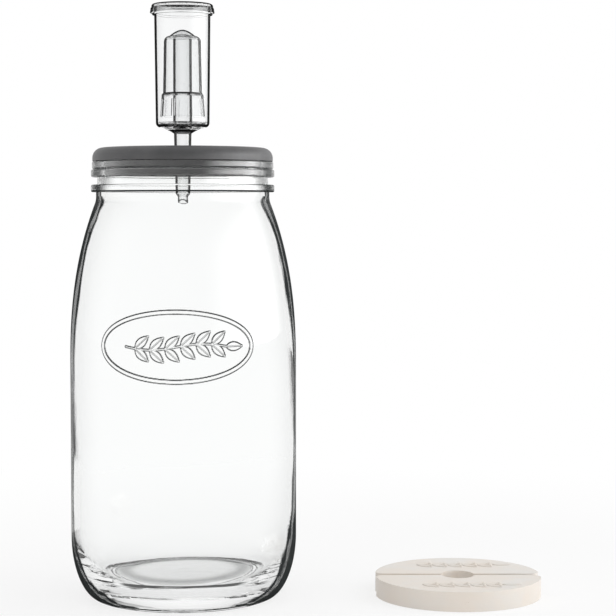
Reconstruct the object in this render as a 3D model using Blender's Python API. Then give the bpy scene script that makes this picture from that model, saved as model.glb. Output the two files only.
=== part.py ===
"""A fermentation jar: glass jar, push-in silicone lid, three-piece airlock and two half-disc weights.

Lengths are in metres, +Z is up and the set stands on the plane Z = 0. The jar stands on the left
and the two halves of the weight lie on the right. The origin is midway between the jar's left side
and the weights' right side. Outlines of turned pieces are lists of (radius, height) points.
"""

import math

import bmesh
import bpy

# Fits and cuts
SEAT_GAP = 0.0003
CUT_OVERRUN = 0.0015
MERGE_DISTANCE = 0.000001

# Facets
JAR_SIDES = 48
AIRLOCK_SIDES = 40
LONG_CURVE_STEPS = 9
HEEL_CURVE_STEPS = 7
CORNER_STEPS = 2
WIDE_CORNER_STEPS = 4
SHARP_EDGE_ANGLE = math.radians(35)

# Jar: body, shoulder and heel
JAR_RADIUS = 0.0700
JAR_WALL = 0.0034
HEEL_TOP = 0.0380
HEEL_WIDTH = 0.0138
SHOULDER_FOOT = 0.1460
NECK_FOOT = 0.2460
NECK_RADIUS = 0.0535
SHOULDER_LOWER_SHARE = 0.300
SHOULDER_UPPER_SHARES = (0.860, 0.360)
HEEL_LOWER_SHARES = (0.483, 0.066)
HEEL_UPPER_SHARE = 0.526

# Jar: rings round the mouth, from the neck up
NECK_HEIGHT = 0.0050
CARRY_RING_HEIGHT = 0.0046
RECESS_HEIGHT = 0.0046
LOWER_RING_HEIGHT = 0.0047
RING_GROOVE_HEIGHT = 0.0003
UPPER_RING_HEIGHT = 0.0046
RING_REACH = 0.0031
UPPER_RING_REACH = 0.0025
RECESS_DEPTH = 0.0007
RING_GROOVE_DEPTH = 0.0012
RING_ROUNDING = 0.0010
MOUTH_WALL = 0.0045
LIP_ROUNDING = 0.0012

# Jar: standing ring and raised middle of the base
STAND_WIDTH = 0.0065
PUNT_FLARE = 0.0041
PUNT_HEIGHT = 0.0055
PUNT_ROUNDING = 0.0030
FLOOR_THICKNESS = 0.0052
FLOOR_INSET = 0.0016
FLOOR_EDGE_DROP = 0.0012
INNER_HEEL_RISE = 0.0020
INNER_HEEL_LOWER_SHARES = (0.600, 0.030)
INNER_HEEL_UPPER_SHARE = 0.600

# Lid
FLANGE_INSET = 0.0003
FLANGE_HEIGHT = 0.0082
FLANGE_TOP_ROUNDING = 0.0063
PLUG_DEPTH = 0.0086
PLUG_EDGE_ROUNDING = 0.0012

# Airlock body: stem and slanted tip, from the top of the lid
STEM_SHOWING = 0.0089
STEM_LENGTH = 0.0372
STEM_TOP_RADIUS = 0.00540
STEM_BOTTOM_RADIUS = 0.00450
STEM_WALL = 0.0010
TIP_SHOULDER_HEIGHT = 0.0018
TIP_RADIUS = 0.0031
TIP_WALL = 0.0008
TIP_LENGTH = 0.0028
TIP_SLANT = 0.0016

# Airlock body: cup and middle tube, from the top of the stem
COLLAR_RISE = 0.0016
COLLAR_REACH = 0.0026
FLOOR_RISE = 0.0022
CUP_CHAMFER_RISE = 0.0027
CUP_CHAMFER_WIDTH = 0.0024
CUP_DEPTH = 0.0710
CUP_FOOT_RADIUS = 0.01655
CUP_TOP_RADIUS = 0.01735
CUP_WALL = 0.0009
CUP_FLOOR_THICKNESS = 0.0012
CUP_BEAD_THICKNESS = 0.0010
TUBE_HEIGHT = 0.0535
TUBE_TOP_RADIUS = 0.00570
TUBE_FOOT_RADIUS = 0.00585
TUBE_WALL = 0.0010
TUBE_FILLET = 0.0008

# Airlock bubbler, which hangs on the middle tube inside the cup
BUBBLER_WALL = 0.0010
SKIRT_SIDE_CLEARANCE = 0.0019
SKIRT_FOOT_CLEARANCE = 0.0055
SKIRT_LENGTH = 0.0145
SKIRT_FLARE = 0.0009
SKIRT_STEP_WIDTH = 0.0009
SKIRT_STEP_HEIGHT = 0.0012
BUBBLER_TAPER = 0.0006
BUBBLER_ROUNDING = 0.0034
DOME_SEAT_WIDTH = 0.0003
DOME_RISE = 0.0040
SLOT_COUNT = 8
SLOT_WIDTH = 0.0020
SLOT_HEIGHT = 0.0105

# Airlock cap, which lies on the rim of the cup
CAP_THICKNESS = 0.0016
CAP_HEIGHT = 0.0053
CAP_SIDE_CLEARANCE = 0.00115
CAP_SKIRT_WALL = 0.0010
CAP_FLARE = 0.0004
CAP_ROUNDING = 0.0010
CAP_STEP_WIDTH = 0.0005
CAP_STEP_DEPTH = 0.0022
CAP_STEP_HEIGHT = 0.0004
VENT_COUNT = 6
VENT_RADIUS = 0.0011
VENT_CIRCLE_RADIUS = 0.0095
VENT_SIDES = 10

# Weights
WEIGHT_RADIUS = 0.0516
WEIGHT_THICKNESS = 0.0120
WEIGHT_CORNER = 0.0052
WEIGHT_NOTCH_RADIUS = 0.0096
WEIGHT_NOTCH_CORNER = 0.0018
WEIGHT_EDGE_ROUNDING = 0.0026
WEIGHT_EDGE_STEPS = 3
WEIGHT_ARC_STEPS = 26
WEIGHT_NOTCH_STEPS = 10
WEIGHT_CORNER_STEPS = 4
HALVES_GAP = 0.0045
JAR_TO_WEIGHTS_GAP = 0.0500

# Places and sizes of the jar and the lid that follow from the ones above
STAND_RADIUS = JAR_RADIUS - HEEL_WIDTH
PUNT_RADIUS = STAND_RADIUS - STAND_WIDTH - PUNT_FLARE
FLOOR_RADIUS = PUNT_RADIUS - FLOOR_INSET
MOUTH_RADIUS = NECK_RADIUS - MOUTH_WALL
CARRY_RING_BOTTOM = NECK_FOOT + NECK_HEIGHT
RECESS_BOTTOM = CARRY_RING_BOTTOM + CARRY_RING_HEIGHT
LOWER_RING_BOTTOM = RECESS_BOTTOM + RECESS_HEIGHT
LOWER_RING_TOP = LOWER_RING_BOTTOM + LOWER_RING_HEIGHT
UPPER_RING_BOTTOM = LOWER_RING_TOP + RING_GROOVE_HEIGHT
JAR_HEIGHT = UPPER_RING_BOTTOM + UPPER_RING_HEIGHT
FLANGE_RADIUS = NECK_RADIUS + UPPER_RING_REACH - FLANGE_INSET
FLANGE_BOTTOM = JAR_HEIGHT + SEAT_GAP
FLANGE_TOP = FLANGE_BOTTOM + FLANGE_HEIGHT
PLUG_BOTTOM = JAR_HEIGHT - PLUG_DEPTH
PLUG_RADIUS = MOUTH_RADIUS - SEAT_GAP

# Places and sizes of the airlock that follow
STEM_TOP = FLANGE_TOP + STEM_SHOWING
STEM_BOTTOM = STEM_TOP - STEM_LENGTH
TIP_TOP = STEM_BOTTOM - TIP_SHOULDER_HEIGHT
TIP_BOTTOM = TIP_TOP - TIP_LENGTH
COLLAR_BOTTOM = STEM_TOP + COLLAR_RISE
CUP_UNDERSIDE = COLLAR_BOTTOM + FLOOR_RISE
CUP_FLOOR = CUP_UNDERSIDE + CUP_FLOOR_THICKNESS
CUP_FOOT = CUP_UNDERSIDE + CUP_CHAMFER_RISE
CUP_TOP = CUP_FOOT + CUP_DEPTH
TUBE_TOP = CUP_FLOOR + TUBE_HEIGHT
BUBBLER_SEAT = TUBE_TOP + SEAT_GAP
BUBBLER_SHOULDER = BUBBLER_SEAT + BUBBLER_WALL
SKIRT_BOTTOM = CUP_FLOOR + SKIRT_FOOT_CLEARANCE
SKIRT_TOP = SKIRT_BOTTOM + SKIRT_LENGTH
CAP_SEAT = CUP_TOP + SEAT_GAP
CAP_TOP = CAP_SEAT + CAP_THICKNESS
CAP_BOTTOM = CAP_TOP - CAP_HEIGHT
CAP_STEP_TOP = CAP_TOP - CAP_STEP_DEPTH
CAP_SKIRT_TOP_RADIUS = CUP_TOP_RADIUS + CAP_SIDE_CLEARANCE + CAP_SKIRT_WALL
CAP_SKIRT_RADIUS = CAP_SKIRT_TOP_RADIUS + CAP_FLARE
CAP_TOP_RADIUS = CAP_SKIRT_TOP_RADIUS - CAP_STEP_WIDTH
CUP_BEAD_RADIUS = CAP_SKIRT_RADIUS - CAP_SKIRT_WALL - SEAT_GAP
CUP_BEAD_TOP = CAP_BOTTOM - SEAT_GAP
CUP_BEAD_BOTTOM = CUP_BEAD_TOP - CUP_BEAD_THICKNESS

# Places of the jar and the weights that follow
WEIGHT_CORNER_TURN = math.asin(WEIGHT_CORNER / (WEIGHT_RADIUS - WEIGHT_CORNER))
WEIGHT_REACH = WEIGHT_RADIUS * math.cos(WEIGHT_CORNER_TURN)
SET_WIDTH = 2 * JAR_RADIUS + JAR_TO_WEIGHTS_GAP + 2 * WEIGHT_REACH
JAR_X = JAR_RADIUS - SET_WIDTH / 2
WEIGHTS_X = SET_WIDTH / 2 - WEIGHT_REACH

# Colours, as red, green, blue and alpha
GLASS_COLOUR = (0.93, 0.96, 0.95, 1.0)
SILICONE_COLOUR = (0.12, 0.12, 0.125, 1.0)
PLASTIC_COLOUR = (0.94, 0.95, 0.96, 1.0)
CERAMIC_COLOUR = (0.76, 0.72, 0.66, 1.0)


def round_corner(centre, radius, first_turn, last_turn, steps):
    """Points on an arc, both ends included. Turns run from +radius towards +height, in radians."""
    points = []
    for step in range(steps + 1):
        turn = first_turn + (last_turn - first_turn) * step / steps
        points.append((centre[0] + radius * math.cos(turn), centre[1] + radius * math.sin(turn)))
    return points


def smooth_curve(start, start_handle, end_handle, end, steps):
    """Points on a cubic curve between two points, both ends included."""
    points = []
    for step in range(steps + 1):
        t = step / steps
        s = 1 - t
        weights = (s**3, 3 * s * s * t, 3 * s * t * t, t**3)
        controls = (start, start_handle, end_handle, end)
        points.append(tuple(sum(w * c[axis] for w, c in zip(weights, controls)) for axis in (0, 1)))
    return points


def ring_band(inner_radius, outer_radius, bottom, height):
    """The outline of one round-edged ring, from its foot on the neck up to its head."""
    core = outer_radius - RING_ROUNDING
    low = round_corner((core, bottom + RING_ROUNDING), RING_ROUNDING, -math.pi / 2, 0, CORNER_STEPS)
    high = round_corner((core, bottom + height - RING_ROUNDING), RING_ROUNDING, 0, math.pi / 2, CORNER_STEPS)
    return [(inner_radius, bottom), *low, *high, (inner_radius, bottom + height)]


def without_repeats(outline):
    """The outline with each point that repeats the one before it left out."""
    kept = [outline[0]]
    for point in outline[1:]:
        if math.dist(point, kept[-1]) > MERGE_DISTANCE:
            kept.append(point)
    return kept


def jar_underside():
    """From the middle of the raised base out to the edge of the flat standing ring."""
    stand_inner = STAND_RADIUS - STAND_WIDTH
    corner_centre = (PUNT_RADIUS - PUNT_ROUNDING, PUNT_HEIGHT - PUNT_ROUNDING)
    corner = round_corner(corner_centre, PUNT_ROUNDING, math.pi / 2, 0, CORNER_STEPS)
    return [(0.0, PUNT_HEIGHT), *corner, (stand_inner, 0.0), (STAND_RADIUS, 0.0)]


def jar_outside():
    """Up the heel, the body and the shoulder to the foot of the neck."""
    heel_start = (
        STAND_RADIUS + HEEL_LOWER_SHARES[0] * HEEL_WIDTH,
        HEEL_LOWER_SHARES[1] * HEEL_TOP,
    )
    heel_end = (JAR_RADIUS, HEEL_TOP * (1 - HEEL_UPPER_SHARE))
    heel = smooth_curve((STAND_RADIUS, 0.0), heel_start, heel_end, (JAR_RADIUS, HEEL_TOP), HEEL_CURVE_STEPS)
    return heel + shoulder_curve(JAR_RADIUS, NECK_RADIUS)


def shoulder_curve(body_radius, neck_radius):
    """The shoulder from the body up to the neck, for the outside or the inside of the glass."""
    height = NECK_FOOT - SHOULDER_FOOT
    drop = body_radius - neck_radius
    lower = (body_radius, SHOULDER_FOOT + SHOULDER_LOWER_SHARE * height)
    upper = (
        neck_radius + SHOULDER_UPPER_SHARES[0] * drop,
        NECK_FOOT - SHOULDER_UPPER_SHARES[1] * height,
    )
    return smooth_curve(
        (body_radius, SHOULDER_FOOT), lower, upper, (neck_radius, NECK_FOOT), LONG_CURVE_STEPS
    )


def jar_mouth():
    """The rings round the mouth, then over the lip and down to the foot of the straight mouth."""
    ring_radius = NECK_RADIUS + RING_REACH
    upper_radius = NECK_RADIUS + UPPER_RING_REACH
    recess_radius = NECK_RADIUS - RECESS_DEPTH
    groove_radius = ring_radius - RING_GROOVE_DEPTH
    carry = ring_band(NECK_RADIUS, ring_radius, CARRY_RING_BOTTOM, CARRY_RING_HEIGHT)[:-1]
    recess = [(recess_radius, RECESS_BOTTOM)]
    lower = ring_band(recess_radius, ring_radius, LOWER_RING_BOTTOM, LOWER_RING_HEIGHT)[:-1]
    groove = [(groove_radius, LOWER_RING_TOP)]
    upper = ring_band(groove_radius, upper_radius, UPPER_RING_BOTTOM, UPPER_RING_HEIGHT)[:-1]
    lip_centre = (MOUTH_RADIUS + LIP_ROUNDING, JAR_HEIGHT - LIP_ROUNDING)
    lip = round_corner(lip_centre, LIP_ROUNDING, math.pi / 2, math.pi, CORNER_STEPS)
    return carry + recess + lower + groove + upper + lip + [(MOUTH_RADIUS, CARRY_RING_BOTTOM)]


def jar_inside():
    """Down the inner shoulder, body and heel to the middle of the floor."""
    inner_radius = JAR_RADIUS - JAR_WALL
    shoulder = shoulder_curve(inner_radius, NECK_RADIUS - JAR_WALL)[::-1]
    heel_top = HEEL_TOP + INNER_HEEL_RISE
    floor_middle = PUNT_HEIGHT + FLOOR_THICKNESS
    floor_edge = floor_middle - FLOOR_EDGE_DROP
    height = heel_top - floor_edge
    width = inner_radius - FLOOR_RADIUS
    upper = (inner_radius, heel_top - INNER_HEEL_UPPER_SHARE * height)
    lower = (
        FLOOR_RADIUS + INNER_HEEL_LOWER_SHARES[0] * width,
        floor_edge + INNER_HEEL_LOWER_SHARES[1] * height,
    )
    heel = smooth_curve(
        (inner_radius, heel_top), upper, lower, (FLOOR_RADIUS, floor_edge), HEEL_CURVE_STEPS
    )
    return shoulder + heel + [(0.0, floor_middle)]


def lid_outline():
    """Once round the cut face of the lid, whose hole follows the tapered stem."""
    top_hole = stem_radius(FLANGE_TOP) + SEAT_GAP
    bottom_hole = stem_radius(PLUG_BOTTOM) + SEAT_GAP
    top_centre = (FLANGE_RADIUS - FLANGE_TOP_ROUNDING, FLANGE_TOP - FLANGE_TOP_ROUNDING)
    top = round_corner(top_centre, FLANGE_TOP_ROUNDING, 0, math.pi / 2, WIDE_CORNER_STEPS)
    plug_centre = (PLUG_RADIUS - PLUG_EDGE_ROUNDING, PLUG_BOTTOM + PLUG_EDGE_ROUNDING)
    plug = round_corner(plug_centre, PLUG_EDGE_ROUNDING, -math.pi / 2, 0, CORNER_STEPS)
    flange = [(PLUG_RADIUS, FLANGE_BOTTOM), (FLANGE_RADIUS, FLANGE_BOTTOM)]
    return [(bottom_hole, PLUG_BOTTOM), *plug, *flange, *top, (top_hole, FLANGE_TOP)]


def stem_radius(height):
    """The outer radius of the tapered stem at a height."""
    share = (height - STEM_BOTTOM) / STEM_LENGTH
    return STEM_BOTTOM_RADIUS + (STEM_TOP_RADIUS - STEM_BOTTOM_RADIUS) * share


def cup_radius(height):
    """The outer radius of the tapered cup at a height."""
    return CUP_FOOT_RADIUS + (CUP_TOP_RADIUS - CUP_FOOT_RADIUS) * (height - CUP_FOOT) / CUP_DEPTH


def airlock_body_outline():
    """Once round the wall: up the outside from the tip, down inside the cup and down the bore."""
    chamfer_radius = CUP_FOOT_RADIUS - CUP_CHAMFER_WIDTH
    outside = [
        (TIP_RADIUS, TIP_BOTTOM),
        (TIP_RADIUS, TIP_TOP),
        (STEM_BOTTOM_RADIUS, STEM_BOTTOM),
        (STEM_TOP_RADIUS, STEM_TOP),
        (STEM_TOP_RADIUS + COLLAR_REACH, COLLAR_BOTTOM),
        (chamfer_radius, CUP_UNDERSIDE),
        (CUP_FOOT_RADIUS, CUP_FOOT),
        (cup_radius(CUP_BEAD_BOTTOM), CUP_BEAD_BOTTOM),
        (CUP_BEAD_RADIUS, CUP_BEAD_BOTTOM),
        (CUP_BEAD_RADIUS, CUP_BEAD_TOP),
        (cup_radius(CUP_BEAD_TOP), CUP_BEAD_TOP),
        (CUP_TOP_RADIUS, CUP_TOP),
    ]
    inside = [
        (CUP_TOP_RADIUS - CUP_WALL, CUP_TOP),
        (CUP_FOOT_RADIUS - CUP_WALL, CUP_FOOT + CUP_WALL),
        (chamfer_radius - CUP_WALL, CUP_FLOOR),
        (TUBE_FOOT_RADIUS + TUBE_FILLET, CUP_FLOOR),
        (TUBE_FOOT_RADIUS, CUP_FLOOR + TUBE_FILLET),
        (TUBE_TOP_RADIUS, TUBE_TOP),
        (TUBE_TOP_RADIUS - TUBE_WALL, TUBE_TOP),
    ]
    bore = [
        (TUBE_FOOT_RADIUS - TUBE_WALL, CUP_FLOOR),
        (STEM_TOP_RADIUS - STEM_WALL, STEM_TOP),
        (STEM_BOTTOM_RADIUS - STEM_WALL, STEM_BOTTOM),
        (TIP_RADIUS - TIP_WALL, TIP_TOP),
        (TIP_RADIUS - TIP_WALL, TIP_BOTTOM),
    ]
    return outside + inside + bore


def bubbler_radii():
    """The outer radii of the skirt's bottom and top, and of the bubbler's waist and top."""
    skirt_bottom = cup_radius(SKIRT_BOTTOM) - CUP_WALL - SKIRT_SIDE_CLEARANCE
    skirt_top = skirt_bottom - SKIRT_FLARE
    waist = skirt_top - SKIRT_STEP_WIDTH
    return skirt_bottom, skirt_top, waist, waist - BUBBLER_TAPER


def bubbler_outline():
    """From the top of the dome down the outside, then up the inside to the underside of the dome."""
    skirt_bottom, skirt_top, waist, top = bubbler_radii()
    corner_centre = (top - BUBBLER_ROUNDING, BUBBLER_SHOULDER - BUBBLER_ROUNDING)
    corner = round_corner(corner_centre, BUBBLER_ROUNDING, math.pi / 2, 0, CORNER_STEPS)
    inner_rounding = BUBBLER_ROUNDING - BUBBLER_WALL
    inner_corner = round_corner(corner_centre, inner_rounding, 0, math.pi / 2, CORNER_STEPS)
    skirt_shoulder = SKIRT_TOP - SKIRT_STEP_HEIGHT
    dome_inner_radius = TUBE_TOP_RADIUS - DOME_SEAT_WIDTH
    return [
        *dome_curve(dome_inner_radius + BUBBLER_WALL, BUBBLER_SHOULDER),
        *corner,
        (waist, SKIRT_TOP),
        (skirt_top, skirt_shoulder),
        (skirt_bottom, SKIRT_BOTTOM),
        (skirt_bottom - BUBBLER_WALL, SKIRT_BOTTOM),
        (skirt_top - BUBBLER_WALL, skirt_shoulder - BUBBLER_WALL),
        (waist - BUBBLER_WALL, SKIRT_TOP - BUBBLER_WALL),
        *inner_corner,
        *dome_curve(dome_inner_radius, BUBBLER_SEAT)[::-1],
    ]


def dome_curve(radius, foot):
    """The low dome from its top on the axis out to its foot."""
    top = foot + DOME_RISE
    return smooth_curve((0.0, top), (radius / 2, top), (radius, foot), (radius, foot), WIDE_CORNER_STEPS)


def cap_outline():
    """From the middle of the top out over the stepped edge, down the skirt and back underneath."""
    corner_centre = (CAP_TOP_RADIUS - CAP_ROUNDING, CAP_TOP - CAP_ROUNDING)
    corner = round_corner(corner_centre, CAP_ROUNDING, math.pi / 2, 0, CORNER_STEPS)
    return [
        (0.0, CAP_TOP),
        *corner,
        (CAP_TOP_RADIUS, CAP_STEP_TOP),
        (CAP_SKIRT_TOP_RADIUS, CAP_STEP_TOP - CAP_STEP_HEIGHT),
        (CAP_SKIRT_RADIUS, CAP_BOTTOM),
        (CAP_SKIRT_RADIUS - CAP_SKIRT_WALL, CAP_BOTTOM),
        (CAP_SKIRT_TOP_RADIUS - CAP_SKIRT_WALL, CAP_SEAT),
        (0.0, CAP_SEAT),
    ]


def weight_outline():
    """Once round one half of the weight, anticlockwise from the right end of its straight edge."""
    corner_x = (WEIGHT_RADIUS - WEIGHT_CORNER) * math.cos(WEIGHT_CORNER_TURN)
    notch_reach = WEIGHT_NOTCH_RADIUS + WEIGHT_NOTCH_CORNER
    notch_turn = math.asin(WEIGHT_NOTCH_CORNER / notch_reach)
    notch_x = notch_reach * math.cos(notch_turn)
    right = round_corner(
        (corner_x, WEIGHT_CORNER), WEIGHT_CORNER, -math.pi / 2, WEIGHT_CORNER_TURN, WEIGHT_CORNER_STEPS
    )
    rim = round_corner(
        (0.0, 0.0), WEIGHT_RADIUS, WEIGHT_CORNER_TURN, math.pi - WEIGHT_CORNER_TURN, WEIGHT_ARC_STEPS
    )
    notch_end = round_corner(
        (-notch_x, WEIGHT_NOTCH_CORNER), WEIGHT_NOTCH_CORNER, -math.pi / 2, notch_turn, CORNER_STEPS
    )
    notch = round_corner(
        (0.0, 0.0), WEIGHT_NOTCH_RADIUS, math.pi - notch_turn, notch_turn, WEIGHT_NOTCH_STEPS
    )
    left = [(-x, y) for x, y in right[::-1]]
    notch_start = [(-x, y) for x, y in notch_end[::-1]]
    return without_repeats(right + rim + left + notch_end + notch + notch_start)


def clear_scene():
    """Removes everything that the scene holds."""
    for obj in list(bpy.data.objects):
        bpy.data.objects.remove(obj, do_unlink=True)


def plain_material(name, colour, roughness, transmission):
    """A material of one colour, clear where transmission is 1."""
    material = bpy.data.materials.new(name)
    material.use_nodes = True
    shader = material.node_tree.nodes["Principled BSDF"]
    shader.inputs["Base Color"].default_value = colour
    shader.inputs["Roughness"].default_value = roughness
    shader.inputs["Metallic"].default_value = 0.0
    shader.inputs["Transmission Weight"].default_value = transmission
    return material


def finished_object(name, bm, material, location):
    """A smooth-shaded object with its faces pointing out, placed in the scene."""
    bmesh.ops.remove_doubles(bm, verts=bm.verts, dist=MERGE_DISTANCE)
    bmesh.ops.recalc_face_normals(bm, faces=bm.faces)
    mesh = bpy.data.meshes.new(name)
    bm.to_mesh(mesh)
    bm.free()
    mesh.shade_smooth()
    mesh.set_sharp_from_angle(angle=SHARP_EDGE_ANGLE)
    mesh.materials.append(material)
    obj = bpy.data.objects.new(name, mesh)
    obj.location = location
    bpy.context.scene.collection.objects.link(obj)
    return obj


def turned_mesh(outline, closed, sides, base):
    """The outline turned once round the Z axis, with its heights counted from base."""
    bm = bmesh.new()
    points = without_repeats(outline)
    verts = [bm.verts.new((radius, 0.0, height - base)) for radius, height in points]
    edges = [bm.edges.new(pair) for pair in zip(verts, verts[1:])]
    if closed:
        edges.append(bm.edges.new((verts[-1], verts[0])))
    bmesh.ops.spin(
        bm,
        geom=verts + edges,
        cent=(0.0, 0.0, 0.0),
        axis=(0.0, 0.0, 1.0),
        angle=math.tau,
        steps=sides,
        use_merge=True,
    )
    return bm


def cutter(name, bm, parent):
    """A hidden object that a Boolean cuts away from its parent."""
    mesh = bpy.data.meshes.new(name)
    bmesh.ops.recalc_face_normals(bm, faces=bm.faces)
    bm.to_mesh(mesh)
    bm.free()
    obj = bpy.data.objects.new(name, mesh)
    obj.parent = parent
    obj.hide_render = True
    obj.display_type = "WIRE"
    bpy.context.scene.collection.objects.link(obj)
    cut = parent.modifiers.new(name, "BOOLEAN")
    cut.operation = "DIFFERENCE"
    cut.solver = "EXACT"
    cut.object = obj


def block(bm, lows, highs, turn):
    """Adds a box between two corners, turned about the Z axis."""
    corners = []
    for x, y in ((lows[0], lows[1]), (highs[0], lows[1]), (highs[0], highs[1]), (lows[0], highs[1])):
        corners.append((x * math.cos(turn) - y * math.sin(turn), x * math.sin(turn) + y * math.cos(turn)))
    low_face = bm.faces.new([bm.verts.new((x, y, lows[2])) for x, y in corners])
    raised = bmesh.ops.extrude_face_region(bm, geom=[low_face])["geom"]
    verts = [item for item in raised if isinstance(item, bmesh.types.BMVert)]
    bmesh.ops.translate(bm, verts=verts, vec=(0.0, 0.0, highs[2] - lows[2]))


def make_jar(material):
    outline = jar_underside() + jar_outside() + jar_mouth() + jar_inside()
    bm = turned_mesh(outline, False, JAR_SIDES, 0.0)
    return finished_object("glass_jar", bm, material, (JAR_X, 0.0, 0.0))


def make_lid(material):
    bm = turned_mesh(lid_outline(), True, JAR_SIDES, FLANGE_BOTTOM)
    return finished_object("silicone_lid", bm, material, (JAR_X, 0.0, FLANGE_BOTTOM))


def make_airlock_body(material):
    """The turned wall, with the end of its tip slanted by lowering one side and raising the other."""
    bm = turned_mesh(airlock_body_outline(), True, AIRLOCK_SIDES, STEM_TOP)
    tip_middle = TIP_BOTTOM + TIP_LENGTH / 2 - STEM_TOP
    for vert in bm.verts:
        if vert.co.z < tip_middle:
            vert.co.z -= TIP_SLANT * vert.co.y / TIP_RADIUS
    return finished_object("airlock_body", bm, material, (JAR_X, 0.0, STEM_TOP))


def make_bubbler(material):
    """The inverted cup, whose skirt is slotted from below so that gas can leave."""
    bm = turned_mesh(bubbler_outline(), False, AIRLOCK_SIDES, BUBBLER_SEAT)
    bubbler = finished_object("airlock_bubbler", bm, material, (JAR_X, 0.0, BUBBLER_SEAT))
    slots = bmesh.new()
    bottom = SKIRT_BOTTOM - CUT_OVERRUN - BUBBLER_SEAT
    top = SKIRT_BOTTOM + SLOT_HEIGHT - BUBBLER_SEAT
    skirt_bottom, skirt_top, _, _ = bubbler_radii()
    inner = skirt_top - BUBBLER_WALL - CUT_OVERRUN
    outer = skirt_bottom + CUT_OVERRUN
    for index in range(SLOT_COUNT):
        turn = math.tau * (index + 0.5) / SLOT_COUNT
        block(slots, (inner, -SLOT_WIDTH / 2, bottom), (outer, SLOT_WIDTH / 2, top), turn)
    cutter("bubbler_slots", slots, bubbler)
    return bubbler


def make_cap(material):
    """The cap of the cup, with a ring of small vent holes through its top."""
    bm = turned_mesh(cap_outline(), False, AIRLOCK_SIDES, CAP_SEAT)
    cap = finished_object("airlock_cap", bm, material, (JAR_X, 0.0, CAP_SEAT))
    vents = bmesh.new()
    for index in range(VENT_COUNT):
        turn = math.tau * (index + 0.5) / VENT_COUNT
        made = bmesh.ops.create_cone(
            vents,
            cap_ends=True,
            segments=VENT_SIDES,
            radius1=VENT_RADIUS,
            radius2=VENT_RADIUS,
            depth=CAP_THICKNESS + 2 * CUT_OVERRUN,
        )
        place = (VENT_CIRCLE_RADIUS * math.cos(turn), VENT_CIRCLE_RADIUS * math.sin(turn), CAP_THICKNESS / 2)
        bmesh.ops.translate(vents, verts=made["verts"], vec=place)
    cutter("cap_vents", vents, cap)
    return cap


def make_weight(name, side, material):
    """One half of the weight. Side is 1 for the back half and -1 for the front half."""
    bm = bmesh.new()
    face = bm.faces.new([bm.verts.new((x, y * side, 0.0)) for x, y in weight_outline()])
    raised = bmesh.ops.extrude_face_region(bm, geom=[face])["geom"]
    verts = [item for item in raised if isinstance(item, bmesh.types.BMVert)]
    bmesh.ops.translate(bm, verts=verts, vec=(0.0, 0.0, WEIGHT_THICKNESS))
    bmesh.ops.recalc_face_normals(bm, faces=bm.faces)
    edges = [edge for edge in bm.edges if edge.verts[0].co.z == edge.verts[1].co.z]
    bmesh.ops.bevel(
        bm,
        geom=edges,
        offset=WEIGHT_EDGE_ROUNDING,
        offset_type="OFFSET",
        segments=WEIGHT_EDGE_STEPS,
        profile=0.5,
        affect="EDGES",
        clamp_overlap=True,
    )
    return finished_object(name, bm, material, (WEIGHTS_X, side * HALVES_GAP / 2, 0.0))


def main():
    clear_scene()
    glass = plain_material("jar_glass", GLASS_COLOUR, 0.02, 1.0)
    silicone = plain_material("lid_silicone", SILICONE_COLOUR, 0.55, 0.0)
    plastic = plain_material("airlock_plastic", PLASTIC_COLOUR, 0.05, 1.0)
    ceramic = plain_material("weight_ceramic", CERAMIC_COLOUR, 0.40, 0.0)
    make_jar(glass)
    make_lid(silicone)
    make_airlock_body(plastic)
    make_bubbler(plastic)
    make_cap(plastic)
    make_weight("weight_half_back", 1, ceramic)
    make_weight("weight_half_front", -1, ceramic)


main()
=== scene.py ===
"""A fermentation jar in its finished looks: clear glass, grey silicone, clear plastic and glazed ceramic.

Lengths are in metres and +Z is up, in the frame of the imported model. Outlines of turned pieces are
lists of (radius, height) points.
"""

import math

import bmesh
import bpy
import numpy as np
from bpy.props import FloatProperty, FloatVectorProperty, IntProperty, PointerProperty
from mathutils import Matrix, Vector


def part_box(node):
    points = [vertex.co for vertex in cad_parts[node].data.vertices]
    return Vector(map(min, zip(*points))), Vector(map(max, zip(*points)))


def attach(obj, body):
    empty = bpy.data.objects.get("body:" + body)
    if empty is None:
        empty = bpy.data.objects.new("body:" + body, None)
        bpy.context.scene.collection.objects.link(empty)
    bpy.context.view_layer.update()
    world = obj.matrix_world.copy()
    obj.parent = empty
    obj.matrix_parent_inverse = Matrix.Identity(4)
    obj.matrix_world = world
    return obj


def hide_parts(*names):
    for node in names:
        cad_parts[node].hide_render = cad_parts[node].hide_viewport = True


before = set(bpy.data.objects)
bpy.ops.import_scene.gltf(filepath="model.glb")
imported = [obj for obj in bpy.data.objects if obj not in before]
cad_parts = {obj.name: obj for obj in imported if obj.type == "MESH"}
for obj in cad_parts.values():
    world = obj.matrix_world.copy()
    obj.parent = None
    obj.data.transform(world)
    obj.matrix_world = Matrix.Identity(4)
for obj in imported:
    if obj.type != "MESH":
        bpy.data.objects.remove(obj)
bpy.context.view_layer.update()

bl_info = {
    "name": "Fermentation Jar",
    "version": (1, 0, 0),
    "blender": (4, 5, 0),
    "location": "3D View > Sidebar > Jar",
    "description": "Builds a glass fermentation jar with its lid, airlock and weights",
    "category": "Add Mesh",
}

# Places that the frame gives
JAR_LOW, JAR_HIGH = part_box("glass_jar")
LID_LOW, LID_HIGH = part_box("silicone_lid")
AIRLOCK_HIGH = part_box("airlock_body")[1]
BUBBLER_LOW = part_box("airlock_bubbler")[0]
CAP_LOW, CAP_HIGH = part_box("airlock_cap")
WEIGHT_LOW, WEIGHT_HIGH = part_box("weight_half_back")
AXIS = (JAR_LOW.x + JAR_HIGH.x) / 2
WEIGHTS_X = (WEIGHT_LOW.x + WEIGHT_HIGH.x) / 2

# Turns that light may take in the glass before it is lost
BOUNCES = 32

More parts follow.
